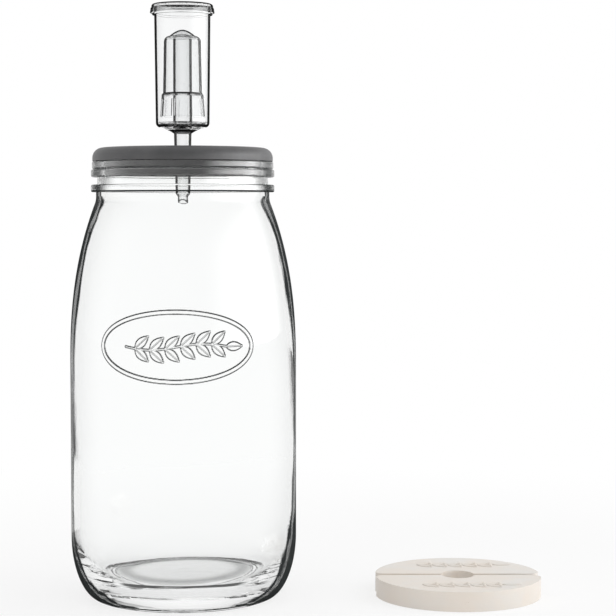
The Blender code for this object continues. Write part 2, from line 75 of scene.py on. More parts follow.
# Facets of the fine meshes
JAR_SIDES = 160
AIRLOCK_SIDES = 96
MERGE_DISTANCE = 0.000001
SHARP_EDGE_ANGLE = math.radians(35)
HELD_TURN = math.radians(5)
EDGE_HOLD = 0.00008

# Steps of the curves
CORNER_STEPS = 6
SHOULDER_STEPS = 28
LID_CORNER_STEPS = 14
DOME_STEPS = 10
BUBBLER_CORNER_STEPS = 8
WEIGHT_STEPS = {"corner": 12, "rim": 90, "notch_corner": 6, "notch": 30, "edge": 8}
PLAIN_FACE_CORNERS = 8
VENT_SIDES = 20
SPRIG_STEM_SIDES = 12

# Fits
SEAT_GAP = 0.0003
CUT_OVERRUN = 0.0015

# Jar: body, shoulder and heel
JAR_RADIUS = (JAR_HIGH.x - JAR_LOW.x) / 2
JAR_HEIGHT = JAR_HIGH.z
JAR_WALL = 0.0034
HEEL_TOP = 0.0380
HEEL_WIDTH = 0.0138
SHOULDER_FOOT = 0.1460
NECK_FOOT = 0.2460
NECK_RADIUS = 0.0535
SHOULDER_LOWER_SHARE = 0.300
SHOULDER_UPPER_SHARES = (0.860, 0.360)
HEEL_LOWER_SHARES = (0.483, 0.066)
HEEL_UPPER_SHARE = 0.526
WALL_ROW_HEIGHT = 0.0024
LONG_ROW = 0.0080
NECK_BEND_PULL = 0.6
HEEL_STEPS = 18

# Jar: rings round the mouth, from the neck up
NECK_HEIGHT = 0.0050
CARRY_RING_HEIGHT = 0.0046
RECESS_HEIGHT = 0.0046
LOWER_RING_HEIGHT = 0.0047
RING_GROOVE_HEIGHT = 0.0003
UPPER_RING_HEIGHT = 0.0046
RING_REACH = 0.0031
UPPER_RING_REACH = 0.0025
RECESS_DEPTH = 0.0007
RING_GROOVE_DEPTH = 0.0012
RING_ROUNDING = 0.0010
MOUTH_WALL = 0.0045
LIP_ROUNDING = 0.0012

# Jar: standing ring and raised middle of the base
STAND_WIDTH = 0.0065
PUNT_FLARE = 0.0041
PUNT_HEIGHT = 0.0055
PUNT_ROUNDING = 0.0030
FLOOR_THICKNESS = 0.0052
FLOOR_INSET = 0.0016
FLOOR_EDGE_DROP = 0.0012
FLOOR_ROW = 0.0013
INNER_HEEL_RISE = 0.0020
INNER_HEEL_LOWER_SHARES = (0.600, 0.030)
INNER_HEEL_UPPER_SHARE = 0.600

# Lid
FLANGE_INSET = 0.0003
FLANGE_TOP_ROUNDING = 0.0063
PLUG_EDGE_ROUNDING = 0.0012

# Airlock body: stem and slanted tip
STEM_LENGTH = 0.0372
STEM_TOP_RADIUS = 0.00540
STEM_BOTTOM_RADIUS = 0.00450
STEM_WALL = 0.0010
TIP_SHOULDER_HEIGHT = 0.0018
TIP_RADIUS = 0.0031
TIP_WALL = 0.0008
TIP_LENGTH = 0.0028
TIP_SLANT = 0.0016

# Airlock body: cup and middle tube, from the top of the stem
COLLAR_RISE = 0.0016
COLLAR_REACH = 0.0026
FLOOR_RISE = 0.0022
COLLAR_LINE_SHARES = (0.45, 0.22)
CUP_CHAMFER_RISE = 0.0027
CUP_CHAMFER_WIDTH = 0.0024
CUP_DEPTH = 0.0710
CUP_FOOT_RADIUS = 0.01655
CUP_TOP_RADIUS = 0.01735
CUP_WALL = 0.0009
CUP_FLOOR_THICKNESS = 0.0012
CUP_BEAD_THICKNESS = 0.0010
TUBE_HEIGHT = 0.0535
TUBE_TOP_RADIUS = 0.00570
TUBE_FOOT_RADIUS = 0.00585
TUBE_WALL = 0.0010
TUBE_FILLET = 0.0008
BODY_ROUNDING = 0.00025

# Airlock bubbler, which hangs on the middle tube inside the cup
BUBBLER_WALL = 0.0010
SKIRT_SIDE_CLEARANCE = 0.0019
SKIRT_LENGTH = 0.0145
SKIRT_FLARE = 0.0009
SKIRT_STEP_WIDTH = 0.0009
SKIRT_STEP_HEIGHT = 0.0012
BUBBLER_TAPER = 0.0006
BUBBLER_ROUNDING = 0.0034
DOME_SEAT_WIDTH = 0.0003
DOME_RISE = 0.0040

# Airlock cap, which lies on the rim of the cup
CAP_THICKNESS = 0.0016
CAP_SIDE_CLEARANCE = 0.00115
CAP_SKIRT_WALL = 0.0010
CAP_FLARE = 0.0004
CAP_ROUNDING = 0.0014
CAP_STEP_WIDTH = 0.0005
CAP_STEP_DEPTH = 0.0022
CAP_STEP_HEIGHT = 0.0004
VENT_CIRCLE_RADIUS = 0.0095

# Weights
WEIGHT_RADIUS = WEIGHT_HIGH.y - WEIGHT_LOW.y
WEIGHT_THICKNESS = WEIGHT_HIGH.z
WEIGHT_CORNER = 0.0052
WEIGHT_NOTCH_RADIUS = 0.0096
WEIGHT_NOTCH_CORNER = 0.0018
WEIGHT_EDGE_ROUNDING = 0.0026

# The two halves of the weight: side of the axis, body and CAD node
WEIGHT_HALVES = ((1, "back_half", "weight_half_back"), (-1, "front_half", "weight_half_front"))

# Places and sizes of the jar and the lid that follow from the ones above
STAND_RADIUS = JAR_RADIUS - HEEL_WIDTH
PUNT_RADIUS = STAND_RADIUS - STAND_WIDTH - PUNT_FLARE
FLOOR_RADIUS = PUNT_RADIUS - FLOOR_INSET
MOUTH_RADIUS = NECK_RADIUS - MOUTH_WALL
CARRY_RING_BOTTOM = NECK_FOOT + NECK_HEIGHT
RECESS_BOTTOM = CARRY_RING_BOTTOM + CARRY_RING_HEIGHT
LOWER_RING_BOTTOM = RECESS_BOTTOM + RECESS_HEIGHT
LOWER_RING_TOP = LOWER_RING_BOTTOM + LOWER_RING_HEIGHT
UPPER_RING_BOTTOM = LOWER_RING_TOP + RING_GROOVE_HEIGHT
FLANGE_RADIUS = NECK_RADIUS + UPPER_RING_REACH - FLANGE_INSET
FLANGE_BOTTOM = JAR_HEIGHT + SEAT_GAP
FLANGE_TOP = LID_HIGH.z
PLUG_BOTTOM = LID_LOW.z
PLUG_RADIUS = MOUTH_RADIUS - SEAT_GAP

# Places and sizes of the airlock that follow
CUP_TOP = AIRLOCK_HIGH.z
CUP_FOOT = CUP_TOP - CUP_DEPTH
CUP_UNDERSIDE = CUP_FOOT - CUP_CHAMFER_RISE
CUP_FLOOR = CUP_UNDERSIDE + CUP_FLOOR_THICKNESS
COLLAR_BOTTOM = CUP_UNDERSIDE - FLOOR_RISE
STEM_TOP = COLLAR_BOTTOM - COLLAR_RISE
STEM_BOTTOM = STEM_TOP - STEM_LENGTH
TIP_TOP = STEM_BOTTOM - TIP_SHOULDER_HEIGHT
TIP_BOTTOM = TIP_TOP - TIP_LENGTH
TUBE_TOP = CUP_FLOOR + TUBE_HEIGHT
BUBBLER_SEAT = TUBE_TOP + SEAT_GAP
BUBBLER_SHOULDER = BUBBLER_SEAT + BUBBLER_WALL
SKIRT_BOTTOM = BUBBLER_LOW.z
SKIRT_TOP = SKIRT_BOTTOM + SKIRT_LENGTH
CAP_SEAT = CUP_TOP + SEAT_GAP
CAP_TOP = CAP_HIGH.z
CAP_BOTTOM = CAP_LOW.z
CAP_STEP_TOP = CAP_TOP - CAP_STEP_DEPTH
CAP_SKIRT_TOP_RADIUS = CUP_TOP_RADIUS + CAP_SIDE_CLEARANCE + CAP_SKIRT_WALL
CAP_SKIRT_RADIUS = CAP_SKIRT_TOP_RADIUS + CAP_FLARE
CAP_TOP_RADIUS = CAP_SKIRT_TOP_RADIUS - CAP_STEP_WIDTH
CUP_BEAD_RADIUS = CAP_SKIRT_RADIUS - CAP_SKIRT_WALL - SEAT_GAP
CUP_BEAD_TOP = CAP_BOTTOM - SEAT_GAP
CUP_BEAD_BOTTOM = CUP_BEAD_TOP - CUP_BEAD_THICKNESS

# Relief on the front of the glass: an oval frame of two lines round a leaf sprig
EMBLEM_HEIGHT_ABOVE_FLOOR = 0.1600
EMBLEM_HALF_WIDTH = 0.0475
EMBLEM_HALF_HEIGHT = 0.0205
OVAL_LINE_WIDTH = 0.0024
RELIEF_SLOPE = 0.0004
RELIEF_LINE = 0.0011
STEM_HALF_LENGTH = 0.0310
STEM_WAVE = 0.0018
STEM_WIDTH = 0.0011
LEAF_PITCH = 0.00918
LEAF_LENGTH = 0.0115
LEAF_HALF_WIDTH = 0.0026
LEAF_TURN = math.radians(42)
LEAF_PAIRS = 6
FIRST_LEAF_PLACE = 0.7
STEM_RISE = 0.8
# Painted shade on the sides of the relief: its strength, and how much stronger it is on the sides that face
# up
SIDE_SHADES = (0.95, 0.15)
MIDRIB_WIDTH = 0.0006
MIDRIB_DEPTH = 0.45
RELIEF_CUTS = 5
RELIEF_MARGIN = 0.0030

# Leaf sprigs on the weights
SPRIG_LEAF_LENGTH = 0.0128
SPRIG_LEAF_HALF_WIDTH = 0.0030
SPRIG_PITCH = 0.0096
SPRIG_LEAF_TURN = math.radians(40)
SPRIG_PLACE = 0.56
SPRIG_SINK = 0.4
BERRY_SIZE = 1.3
BERRY_PLACE = 0.92
BERRY_OFFSET = 2.2
LEAF_EDGE_SINK = 0.3
# Height above the top face up to which the relief is painted with crease shade
CREASE_SHADE_HEIGHT = 0.0004
LEAF_ROWS = 12
LEAF_COLUMNS = 8

# Slow waves of the inner face, left by blowing the glass into its mould. Each wave has its size, how
# often it comes round the axis, its phase, and how fast it turns with height
WAVES = ((1.0, 3, 1.3, 14), (0.6, 5, -0.7, 31), (0.5, 2, 0.0, 64))
FLOOR_WAVE_TOP = 0.0300
WAVE_FADE = 0.0200
WAVE_FLOOR_REACH = 0.0370
WAVE_FLOOR_GAIN = 2.2

# Clear glass and plastic: how they bend and shade light, their ripples, and the streaks and the paler line in
# their painted dark edges
GLASS_LOOK = {
    "ior": 1.50, "roughness": 0.0, "shadow": (0.93, 0.935, 0.935),
    "scale": 38.0, "strength": 0.10, "streaks": 90.0, "stray": 0.18, "pale_line": 0.30,
}
PLASTIC_LOOK = {
    "ior": 1.49, "roughness": 0.02, "shadow": (0.90, 0.90, 0.90),
    "scale": 160.0, "strength": 0.03, "streaks": 60.0, "stray": 0.05, "pale_line": 0.0,
}

# Scales of the noise on the silicone, the glaze and the floor, in repeats to the metre
SILICONE_NOISE = {"cloud": 28.0, "grain": 1400.0, "dust": 420.0}
GLAZE_NOISE = {"cloud": 30.0, "specks": 620.0, "chosen": 210.0, "skin": 90.0, "pores": 900.0}
FLOOR_GRAIN = 900.0

# Painted shade at the glass's edge by height: its width on the left and right as shares of the wall, and its
# strength on the left and right
GLASS_EDGE = np.array((
    (0.000, 2.20, 2.20, 1.10, 1.10),
    (0.009, 2.20, 2.20, 1.10, 1.10),
    (0.020, 1.40, 2.10, 1.10, 1.10),
    (0.032, 0.85, 2.20, 1.10, 1.10),
    (0.042, 0.65, 1.60, 0.80, 1.10),
    (0.055, 0.60, 0.95, 0.82, 1.00),
    (0.088, 0.62, 0.50, 0.85, 0.85),
    (0.100, 0.80, 0.45, 0.62, 0.85),
    (0.130, 0.75, 0.45, 0.65, 0.85),
    (0.165, 0.85, 0.85, 1.00, 1.00),
    (0.180, 1.00, 1.05, 1.10, 1.10),
    (0.225, 1.20, 1.25, 1.10, 1.10),
    (0.246, 1.50, 1.70, 1.00, 0.90),
    (0.250, 1.00, 1.00, 1.00, 1.00),
))

# Foot of each ring round the mouth, and how dark the painted shade on the ends of the ring is
RING_SHADES = (
    (CARRY_RING_BOTTOM, 0.92),
    (RECESS_BOTTOM, 0.50),
    (LOWER_RING_BOTTOM, 0.85),
    (UPPER_RING_BOTTOM, 0.75),
)

# Slopes of faces, as the share of their normal that points up or out from the axis
FACES_OUT = 0.2
LEVEL_UP = 0.8
CUT_UP, CUT_OUT = 0.5, 0.3
UNDER_UP = -0.05
STEP_OUT = 0.1

# How far a clear face turns away before its painted dark edge starts, where that doesn't follow from the wall
NEVER_DARK = 3.0
ALWAYS_DARK = -1.0
LEVEL_FACE_START = 0.86
CUT_FACE_START = 0.20
HEEL_FOOT_START = 0.76
CAP_CORNER_START = 0.06
BUBBLER_CORNER_START = 0.62

# How dark the painted shade on such faces is, and how wide and pale the painted dark edges of the plastic are
FULLY_DARK = 1.1
GROOVE_SHADE = 0.5
FLOOR_BAND_RADIUS = 0.0375
FLOOR_BAND_WIDTH = 0.0055
FLOOR_BAND_SHADE = 0.42
PLASTIC_WALL_SEEN = 1.7
INNER_STEM_PALER = (0.35, 0.65)
INNER_STEM_WIDTH = 0.6
TIP_STRENGTH = 0.8
SKIRT_SHADE = 0.26
CAP_STEP_SHADE = 0.38
STEP_SHADE = 0.75
SIDE_SHADE_GAIN = 3.0
COLLAR_SHADE = 0.30
CUP_BEND_SHADE = 0.42
CUP_BEND_SHARE = 0.55

# Clear material: where a painted dark edge starts and where its paler line starts and ends, past the start of
# the edge, then where the painted shade on the ends of the rings starts and gets paler again
EDGE_RISE = (-0.02, 0.03)
PALE_LINE = ((0.05, 0.09), (0.12, 0.16))
RING_ENDS = ((0.34, 0.62), (0.66, 0.95))
RING_END_PALER = 0.45
STREAK_STRETCH = (1.0, 1.0, 0.22)
# How grey the clear colour is painted towards a dark edge, and how far before the edge that painted shade
# begins
PAINTED_EDGE_TINT = 0.74
PAINTED_EDGE_TINT_REACH = 0.45
CLEAR_GLOSS = 0.35

# Colours of the other materials, with the painted shade on the lid's plug and in the crease round the foot of
# the weights' relief
WHITE = (1.0, 1.0, 1.0, 1.0)
DUST_COLOUR = (0.55, 0.55, 0.54, 1.0)
PLUG_PAINTED_SHADE = 0.45
GLAZE_TINTS = ((0.985, 1.0, 1.015), (1.02, 0.985, 0.955))
SPECK_COLOUR = (0.42, 0.36, 0.29, 1.0)
CREASE_SHADE_COLOUR = (0.36, 0.31, 0.26, 1.0)
CREASE_SHADE = 0.45

# Inputs of the two node trees
CUT_INPUTS = (
    ("Count", "Int"), ("Circle Radius", "Float"), ("Cut Width", "Float"), ("Cut Depth", "Float"),
    ("Cut Height", "Float"), ("Centre", "Vector"),
)
SPRIG_INPUTS = (
    ("Pairs", "Int"), ("Pitch", "Float"), ("Leaf Turn", "Float"), ("Stem Radius", "Float"),
    ("Berry Radius", "Float"), ("Centre", "Vector"),
)

# Stage: the camera, the key light, and the directions and distances at which light and floor change
CAMERA_SIDE_STEP = 0.0012
CAMERA_CLIP = (0.01, 100.0)
SENSOR_WIDTH = 36.0
KEY_LIGHT_PLACE = (-0.95, -1.15, 1.25)
KEY_LIGHT_SIZE = 1.1
FLOOR_CORNERS = ((-1, -1), (1, -1), (1, 1), (-1, 1))
FLOOR_DROP = 0.0001
FLOOR_FADE = (0.22, 0.60)
SIDE_LIGHT_REACH = (0.25, 1.00)
RIGHT_BOX_REACH = (0.42, 1.00)
LEFT_BOX_REACH = (0.42, 0.62)
BOX_TOP = (0.35, 0.60)
BOX_BACK = (0.10, 0.65)
FRONT_WALL_SIDE = (-0.15, 0.30)
FRONT_WALL_REACH = (-0.60, 0.10)
CEILING_FADE = 0.25


# Outlines

def towards(start, end, share):
    """The point at a share of the way from one point to another."""
    return tuple(a + (b - a) * share for a, b in zip(start, end))


def arc(centre, radius, first_turn, last_turn, steps):
    """Points on an arc, both ends included. Turns run from +radius towards +height, in radians."""
    turns = (first_turn + (last_turn - first_turn) * step / steps for step in range(steps + 1))
    return [(centre[0] + radius * math.cos(turn), centre[1] + radius * math.sin(turn)) for turn in turns]


def quarter_round(corner, radius, first, last, steps=CORNER_STEPS):
    """An arc that rounds a corner. Its ends are in quarter turns: 0 faces +radius and 1 faces +height."""
    ends = [quarters * math.pi / 2 for quarters in (first, last)]
    centre = [place - radius * sum(map(side, ends)) for place, side in zip(corner, (math.cos, math.sin))]
    return arc(centre, radius, *ends, steps)


def curve(start, start_handle, end_handle, end, steps):
    """Points on a cubic curve between two points, both ends included."""
    points = []
    for t in (step / steps for step in range(steps + 1)):
        s = 1 - t
        weights = (s**3, 3 * s * s * t, 3 * s * t * t, t**3)
        controls = (start, start_handle, end_handle, end)
        points.append(tuple(sum(w * c[axis] for w, c in zip(weights, controls)) for axis in (0, 1)))
    return points


def bend(start, corner, end, pull):
    """A soft bend past a corner, whose handles reach a share of the way to the corner."""
    return curve(start, towards(start, corner, pull), towards(end, corner, pull), end, CORNER_STEPS)


def filled(points, longest):
    """The outline with extra points wherever two points lie further apart than the longest row."""
    result = [points[0]]
    for start, end in zip(points, points[1:]):
        count = max(1, math.ceil(math.dist(start, end) / longest))
        result += [towards(start, end, step / count) for step in range(1, count + 1)]
    return result


def rounded(points, radius):
    """A closed outline with each of its corners cut by a small curve of about that radius."""
    result = []
    for index, point in enumerate(points):
        ends = []
        for other in (points[index - 1], points[(index + 1) % len(points)]):
            distance = math.dist(point, other)
            ends.append(towards(point, other, min(radius, distance * 0.4) / distance))
        result += curve(ends[0], point, point, ends[1], 3)
    return result


def without_repeats(outline):
    """The outline with each point that repeats the one before it left out."""
    kept = [outline[0]]
    for point in outline[1:]:
        if math.dist(point, kept[-1]) > MERGE_DISTANCE:
            kept.append(point)
    return kept


def ring_band(inner_radius, outer_radius, bottom, height):
    """The outline of one round-edged ring, from its foot on the neck up to the edge of its head."""
    ends = ((bottom, -1, 0), (bottom + height, 0, 1))
    low, high = (quarter_round((outer_radius, z), RING_ROUNDING, *turns) for z, *turns in ends)
    return [(inner_radius, bottom), *low, *high]


def up_to_neck(heel, body_radius, neck_radius):
    """On from the heel up the shoulder and into the upright neck, outside or inside the glass."""
    height, corner = NECK_FOOT - SHOULDER_FOOT, (neck_radius, NECK_FOOT)
    lower = (body_radius, SHOULDER_FOOT + SHOULDER_LOWER_SHARE * height)
    shares = SHOULDER_UPPER_SHARES
    upper = (neck_radius + shares[0] * (body_radius - neck_radius), NECK_FOOT - shares[1] * height)
    shoulder = curve((body_radius, SHOULDER_FOOT), lower, upper, corner, SHOULDER_STEPS)
    rows = filled(heel + shoulder, WALL_ROW_HEIGHT)
    return rows[:-2] + bend(rows[-2], corner, (neck_radius, NECK_FOOT + WALL_ROW_HEIGHT), NECK_BEND_PULL)


def jar_underside():
    """From the middle of the raised base out to the edge of the flat standing ring."""
    corner = quarter_round((PUNT_RADIUS, PUNT_HEIGHT), PUNT_ROUNDING, 1, 0)
    foot = (STAND_RADIUS - STAND_WIDTH, 0.0)
    return filled([(0.0, PUNT_HEIGHT), *corner, foot], LONG_ROW) + [(STAND_RADIUS, 0.0)]


def jar_outside():
    """Up the heel, the body and the shoulder to the foot of the neck."""
    lower = (STAND_RADIUS + HEEL_LOWER_SHARES[0] * HEEL_WIDTH, HEEL_LOWER_SHARES[1] * HEEL_TOP)
    upper = (JAR_RADIUS, HEEL_TOP * (1 - HEEL_UPPER_SHARE))
    heel = curve((STAND_RADIUS, 0.0), lower, upper, (JAR_RADIUS, HEEL_TOP), HEEL_STEPS)
    return up_to_neck(heel, JAR_RADIUS, NECK_RADIUS)


def jar_mouth():
    """The rings round the mouth, then over the lip and down to the foot of the straight mouth."""
    ring_radius, recess_radius = NECK_RADIUS + RING_REACH, NECK_RADIUS - RECESS_DEPTH
    groove_radius, upper_radius = ring_radius - RING_GROOVE_DEPTH, NECK_RADIUS + UPPER_RING_REACH
    carry = ring_band(NECK_RADIUS, ring_radius, CARRY_RING_BOTTOM, CARRY_RING_HEIGHT)
    lower = ring_band(recess_radius, ring_radius, LOWER_RING_BOTTOM, LOWER_RING_HEIGHT)
    upper = ring_band(groove_radius, upper_radius, UPPER_RING_BOTTOM, UPPER_RING_HEIGHT)
    rings = [*carry, (recess_radius, RECESS_BOTTOM), *lower, (groove_radius, LOWER_RING_TOP), *upper]
    lip = quarter_round((MOUTH_RADIUS, JAR_HEIGHT), LIP_ROUNDING, 1, 2)
    return [*rings, *lip, (MOUTH_RADIUS, CARRY_RING_BOTTOM)]


def jar_inside():
    """Down the inner shoulder, body and heel to the middle of the floor."""
    radius, top = JAR_RADIUS - JAR_WALL, HEEL_TOP + INNER_HEEL_RISE
    floor_middle = PUNT_HEIGHT + FLOOR_THICKNESS
    floor_edge = (FLOOR_RADIUS, floor_middle - FLOOR_EDGE_DROP)
    height, shares = top - floor_edge[1], INNER_HEEL_LOWER_SHARES
    upper = (radius, top - INNER_HEEL_UPPER_SHARE * height)
    lower = (FLOOR_RADIUS + shares[0] * (radius - FLOOR_RADIUS), floor_edge[1] + shares[1] * height)
    heel = curve((radius, top), upper, lower, floor_edge, HEEL_STEPS)
    wall = filled(up_to_neck([], radius, MOUTH_RADIUS)[::-1] + heel, LONG_ROW)
    return wall[:-1] + filled([floor_edge, (0.0, floor_middle)], FLOOR_ROW)


def stem_radius(height):
    """The outer radius of the tapered stem at a height."""
    return STEM_BOTTOM_RADIUS + (STEM_TOP_RADIUS - STEM_BOTTOM_RADIUS) * (height - STEM_BOTTOM) / STEM_LENGTH


def cup_radius(height):
    """The outer radius of the tapered cup at a height."""
    return CUP_FOOT_RADIUS + (CUP_TOP_RADIUS - CUP_FOOT_RADIUS) * (height - CUP_FOOT) / CUP_DEPTH


def lid_outline():
    """Once round the cut face of the lid, whose hole follows the tapered stem."""
    plug = quarter_round((PLUG_RADIUS, PLUG_BOTTOM), PLUG_EDGE_ROUNDING, -1, 0)
    flange = [(PLUG_RADIUS, FLANGE_BOTTOM), (FLANGE_RADIUS, FLANGE_BOTTOM)]
    top = quarter_round((FLANGE_RADIUS, FLANGE_TOP), FLANGE_TOP_ROUNDING, 0, 1, LID_CORNER_STEPS)
    hole = [(stem_radius(height) + SEAT_GAP, height) for height in (PLUG_BOTTOM, FLANGE_TOP)]
    return [hole[0], *plug, *flange, *top, hole[1]]


def airlock_body_outline():
    """Once round the wall: up the outside from the tip, down inside the cup and down the bore."""
    chamfer = (CUP_FOOT_RADIUS - CUP_CHAMFER_WIDTH, CUP_UNDERSIDE)
    collar, stem_end = (STEM_TOP_RADIUS + COLLAR_REACH, COLLAR_BOTTOM), (STEM_TOP_RADIUS, STEM_TOP)
    below, above = (towards(collar, end, s) for end, s in zip((stem_end, chamfer), COLLAR_LINE_SHARES))
    floor, wall = (chamfer[0] - CUP_WALL, CUP_FLOOR), (CUP_FOOT_RADIUS - CUP_WALL, CUP_FOOT + CUP_WALL)
    outside = [
        (TIP_RADIUS, TIP_BOTTOM), (TIP_RADIUS, TIP_TOP), (STEM_BOTTOM_RADIUS, STEM_BOTTOM),
        stem_end, below, collar, above,
        *bend(chamfer, (CUP_FOOT_RADIUS, CUP_UNDERSIDE), (CUP_FOOT_RADIUS, CUP_FOOT), 0.5),
        (cup_radius(CUP_BEAD_BOTTOM), CUP_BEAD_BOTTOM), (CUP_BEAD_RADIUS, CUP_BEAD_BOTTOM),
        (CUP_BEAD_RADIUS, CUP_BEAD_TOP), (cup_radius(CUP_BEAD_TOP), CUP_BEAD_TOP),
        (CUP_TOP_RADIUS, CUP_TOP),
    ]
    inside = [
        (CUP_TOP_RADIUS - CUP_WALL, CUP_TOP), *bend(floor, (wall[0], floor[1]), wall, 0.5)[::-1],
        (TUBE_FOOT_RADIUS + TUBE_FILLET, CUP_FLOOR), (TUBE_FOOT_RADIUS, CUP_FLOOR + TUBE_FILLET),
        (TUBE_TOP_RADIUS, TUBE_TOP), (TUBE_TOP_RADIUS - TUBE_WALL, TUBE_TOP),
    ]
    bore = [
        (TUBE_FOOT_RADIUS - TUBE_WALL, CUP_FLOOR), (STEM_TOP_RADIUS - STEM_WALL, STEM_TOP),
        (STEM_BOTTOM_RADIUS - STEM_WALL, STEM_BOTTOM),
        (TIP_RADIUS - TIP_WALL, TIP_TOP), (TIP_RADIUS - TIP_WALL, TIP_BOTTOM),
    ]
    return rounded(outside + inside + bore, BODY_ROUNDING)


def bubbler_radii():
    """The outer radii of the skirt's bottom and top, and of the bubbler's waist and top."""
    skirt_bottom = cup_radius(SKIRT_BOTTOM) - CUP_WALL - SKIRT_SIDE_CLEARANCE
    skirt_top = skirt_bottom - SKIRT_FLARE
    waist = skirt_top - SKIRT_STEP_WIDTH
    return skirt_bottom, skirt_top, waist, waist - BUBBLER_TAPER


def dome_curve(radius, foot):
    """The low dome from its top on the axis out to its foot."""
    top = foot + DOME_RISE
    return curve((0.0, top), (radius / 2, top), (radius, foot), (radius, foot), DOME_STEPS)


def bubbler_outline():
    """From the top of the dome down the outside, then up the inside to the underside of the dome."""
    skirt_bottom, skirt_top, waist, top = bubbler_radii()
    corner = quarter_round((top, BUBBLER_SHOULDER), BUBBLER_ROUNDING, 1, 0, BUBBLER_CORNER_STEPS)
    inner = (top - BUBBLER_WALL, BUBBLER_SHOULDER - BUBBLER_WALL)
    inner_corner = quarter_round(inner, BUBBLER_ROUNDING - BUBBLER_WALL, 0, 1, BUBBLER_CORNER_STEPS)
    skirt = [(waist, SKIRT_TOP), (skirt_top, SKIRT_TOP - SKIRT_STEP_HEIGHT), (skirt_bottom, SKIRT_BOTTOM)]
    inner_skirt = [(radius - BUBBLER_WALL, height - BUBBLER_WALL) for radius, height in skirt[1::-1]]
    foot = (skirt_bottom - BUBBLER_WALL, SKIRT_BOTTOM)
    dome = dome_curve(top - BUBBLER_ROUNDING, BUBBLER_SHOULDER)
    inner_dome = dome_curve(TUBE_TOP_RADIUS - DOME_SEAT_WIDTH, BUBBLER_SEAT)[::-1]
    return [*dome, *corner, *skirt, foot, *inner_skirt, *inner_corner, *inner_dome]


def cap_outline():
    """From the middle of the top out over the stepped edge, down the skirt and back underneath."""
    step = [(CAP_TOP_RADIUS, CAP_STEP_TOP), (CAP_SKIRT_TOP_RADIUS, CAP_STEP_TOP - CAP_STEP_HEIGHT)]
    skirt = [(CAP_SKIRT_RADIUS, CAP_BOTTOM), (CAP_SKIRT_RADIUS - CAP_SKIRT_WALL, CAP_BOTTOM)]
    seat = [(CAP_SKIRT_TOP_RADIUS - CAP_SKIRT_WALL, CAP_SEAT), (0.0, CAP_SEAT)]
    corner = quarter_round((CAP_TOP_RADIUS, CAP_TOP), CAP_ROUNDING, 1, 0)
    return [(0.0, CAP_TOP), *corner, *step, *skirt, *seat]


def weight_outline():
    """Once round one half of the weight, anticlockwise from the right end of its straight edge."""
    reach, notch_reach = WEIGHT_RADIUS - WEIGHT_CORNER, WEIGHT_NOTCH_RADIUS + WEIGHT_NOTCH_CORNER
    turn, notch_turn = math.asin(WEIGHT_CORNER / reach), math.asin(WEIGHT_NOTCH_CORNER / notch_reach)
    centre = (reach * math.cos(turn), WEIGHT_CORNER)
    notch_centre = (-notch_reach * math.cos(notch_turn), WEIGHT_NOTCH_CORNER)
    right = arc(centre, WEIGHT_CORNER, -math.pi / 2, turn, WEIGHT_STEPS["corner"])
    rim = arc((0.0, 0.0), WEIGHT_RADIUS, turn, math.pi - turn, WEIGHT_STEPS["rim"])
    notch_end = arc(notch_centre, WEIGHT_NOTCH_CORNER, -math.pi / 2, notch_turn, WEIGHT_STEPS["notch_corner"])
    notch = arc((0.0, 0.0), WEIGHT_NOTCH_RADIUS, math.pi - notch_turn, notch_turn, WEIGHT_STEPS["notch"])
    left, notch_start = ([(-x, y) for x, y in side[::-1]] for side in (right, notch_end))
    return without_repeats(right + rim + left + notch_end + notch + notch_start)


OUTSIDE_RADII, OUTSIDE_HEIGHTS = (list(values) for values in zip(*jar_outside()))


# Meshes

def shown(name, mesh):
    """A smooth-shaded object of the mesh, whose place is in its vertices."""
    mesh.name = name
    mesh.shade_smooth()
    mesh.set_sharp_from_angle(angle=SHARP_EDGE_ANGLE)
    return linked(bpy.data.objects.new(name, mesh))


def linked(obj):
    """The object, put into the scene."""
    bpy.context.scene.collection.objects.link(obj)
    return obj


def placed(name, bm):
    """An object made from a finished bmesh."""
    mesh = bpy.data.meshes.new(name)
    bm.to_mesh(mesh)
    bm.free()
    return shown(name, mesh)


def held_point(point, other):
    """A point close to this one on the way to another, if that is far enough off."""
    distance = math.dist(point, other)
    return [towards(point, other, EDGE_HOLD / distance)] if distance > 6 * EDGE_HOLD else []


def with_held_edges(points, closed):
    """The outline with a point close to each corner on its long straight runs, so that they shade flat."""
    result = []
    ends = () if closed else (0, len(points) - 1)
    for index, point in enumerate(points):
        before, after = points[index - 1], points[(index + 1) % len(points)]
        first, second = (math.atan2(b[1] - a[1], b[0] - a[0]) for a, b in ((before, point), (point, after)))
        if index not in ends and abs(math.remainder(second - first, math.tau)) > HELD_TURN:
            result += [*held_point(point, before), point, *held_point(point, after)]
        else:
            result.append(point)
    return result


def turned(outline, closed, sides):
    """The outline turned once round the jar's axis, with its faces pointing out."""
    points = with_held_edges(without_repeats(outline), closed)
    bm = bmesh.new()
    verts = [bm.verts.new((AXIS + radius, 0.0, height)) for radius, height in points]
    edges = [bm.edges.new(pair) for pair in zip(verts, verts[1:])]
    if closed:
        edges.append(bm.edges.new((verts[-1], verts[0])))
    circle = {"cent": (AXIS, 0.0, 0.0), "axis": (0.0, 0.0, 1.0), "angle": math.tau}
    bmesh.ops.spin(bm, geom=verts + edges, steps=sides, use_merge=True, **circle)
    bmesh.ops.remove_doubles(bm, verts=bm.verts, dist=MERGE_DISTANCE)
    bmesh.ops.recalc_face_normals(bm, faces=bm.faces)
    return bm


def face_vectors(mesh, name):
    """The centre or the normal of every face."""
    values = np.empty(len(mesh.polygons) * 3)
    mesh.polygons.foreach_get(name, values)
    return values.reshape(-1, 3)


def store(mesh, values):
    """Gives every face its value under each name."""
    for name, value in values.items():
        mesh.attributes.new(name, "FLOAT", "FACE").data.foreach_set("value", value)


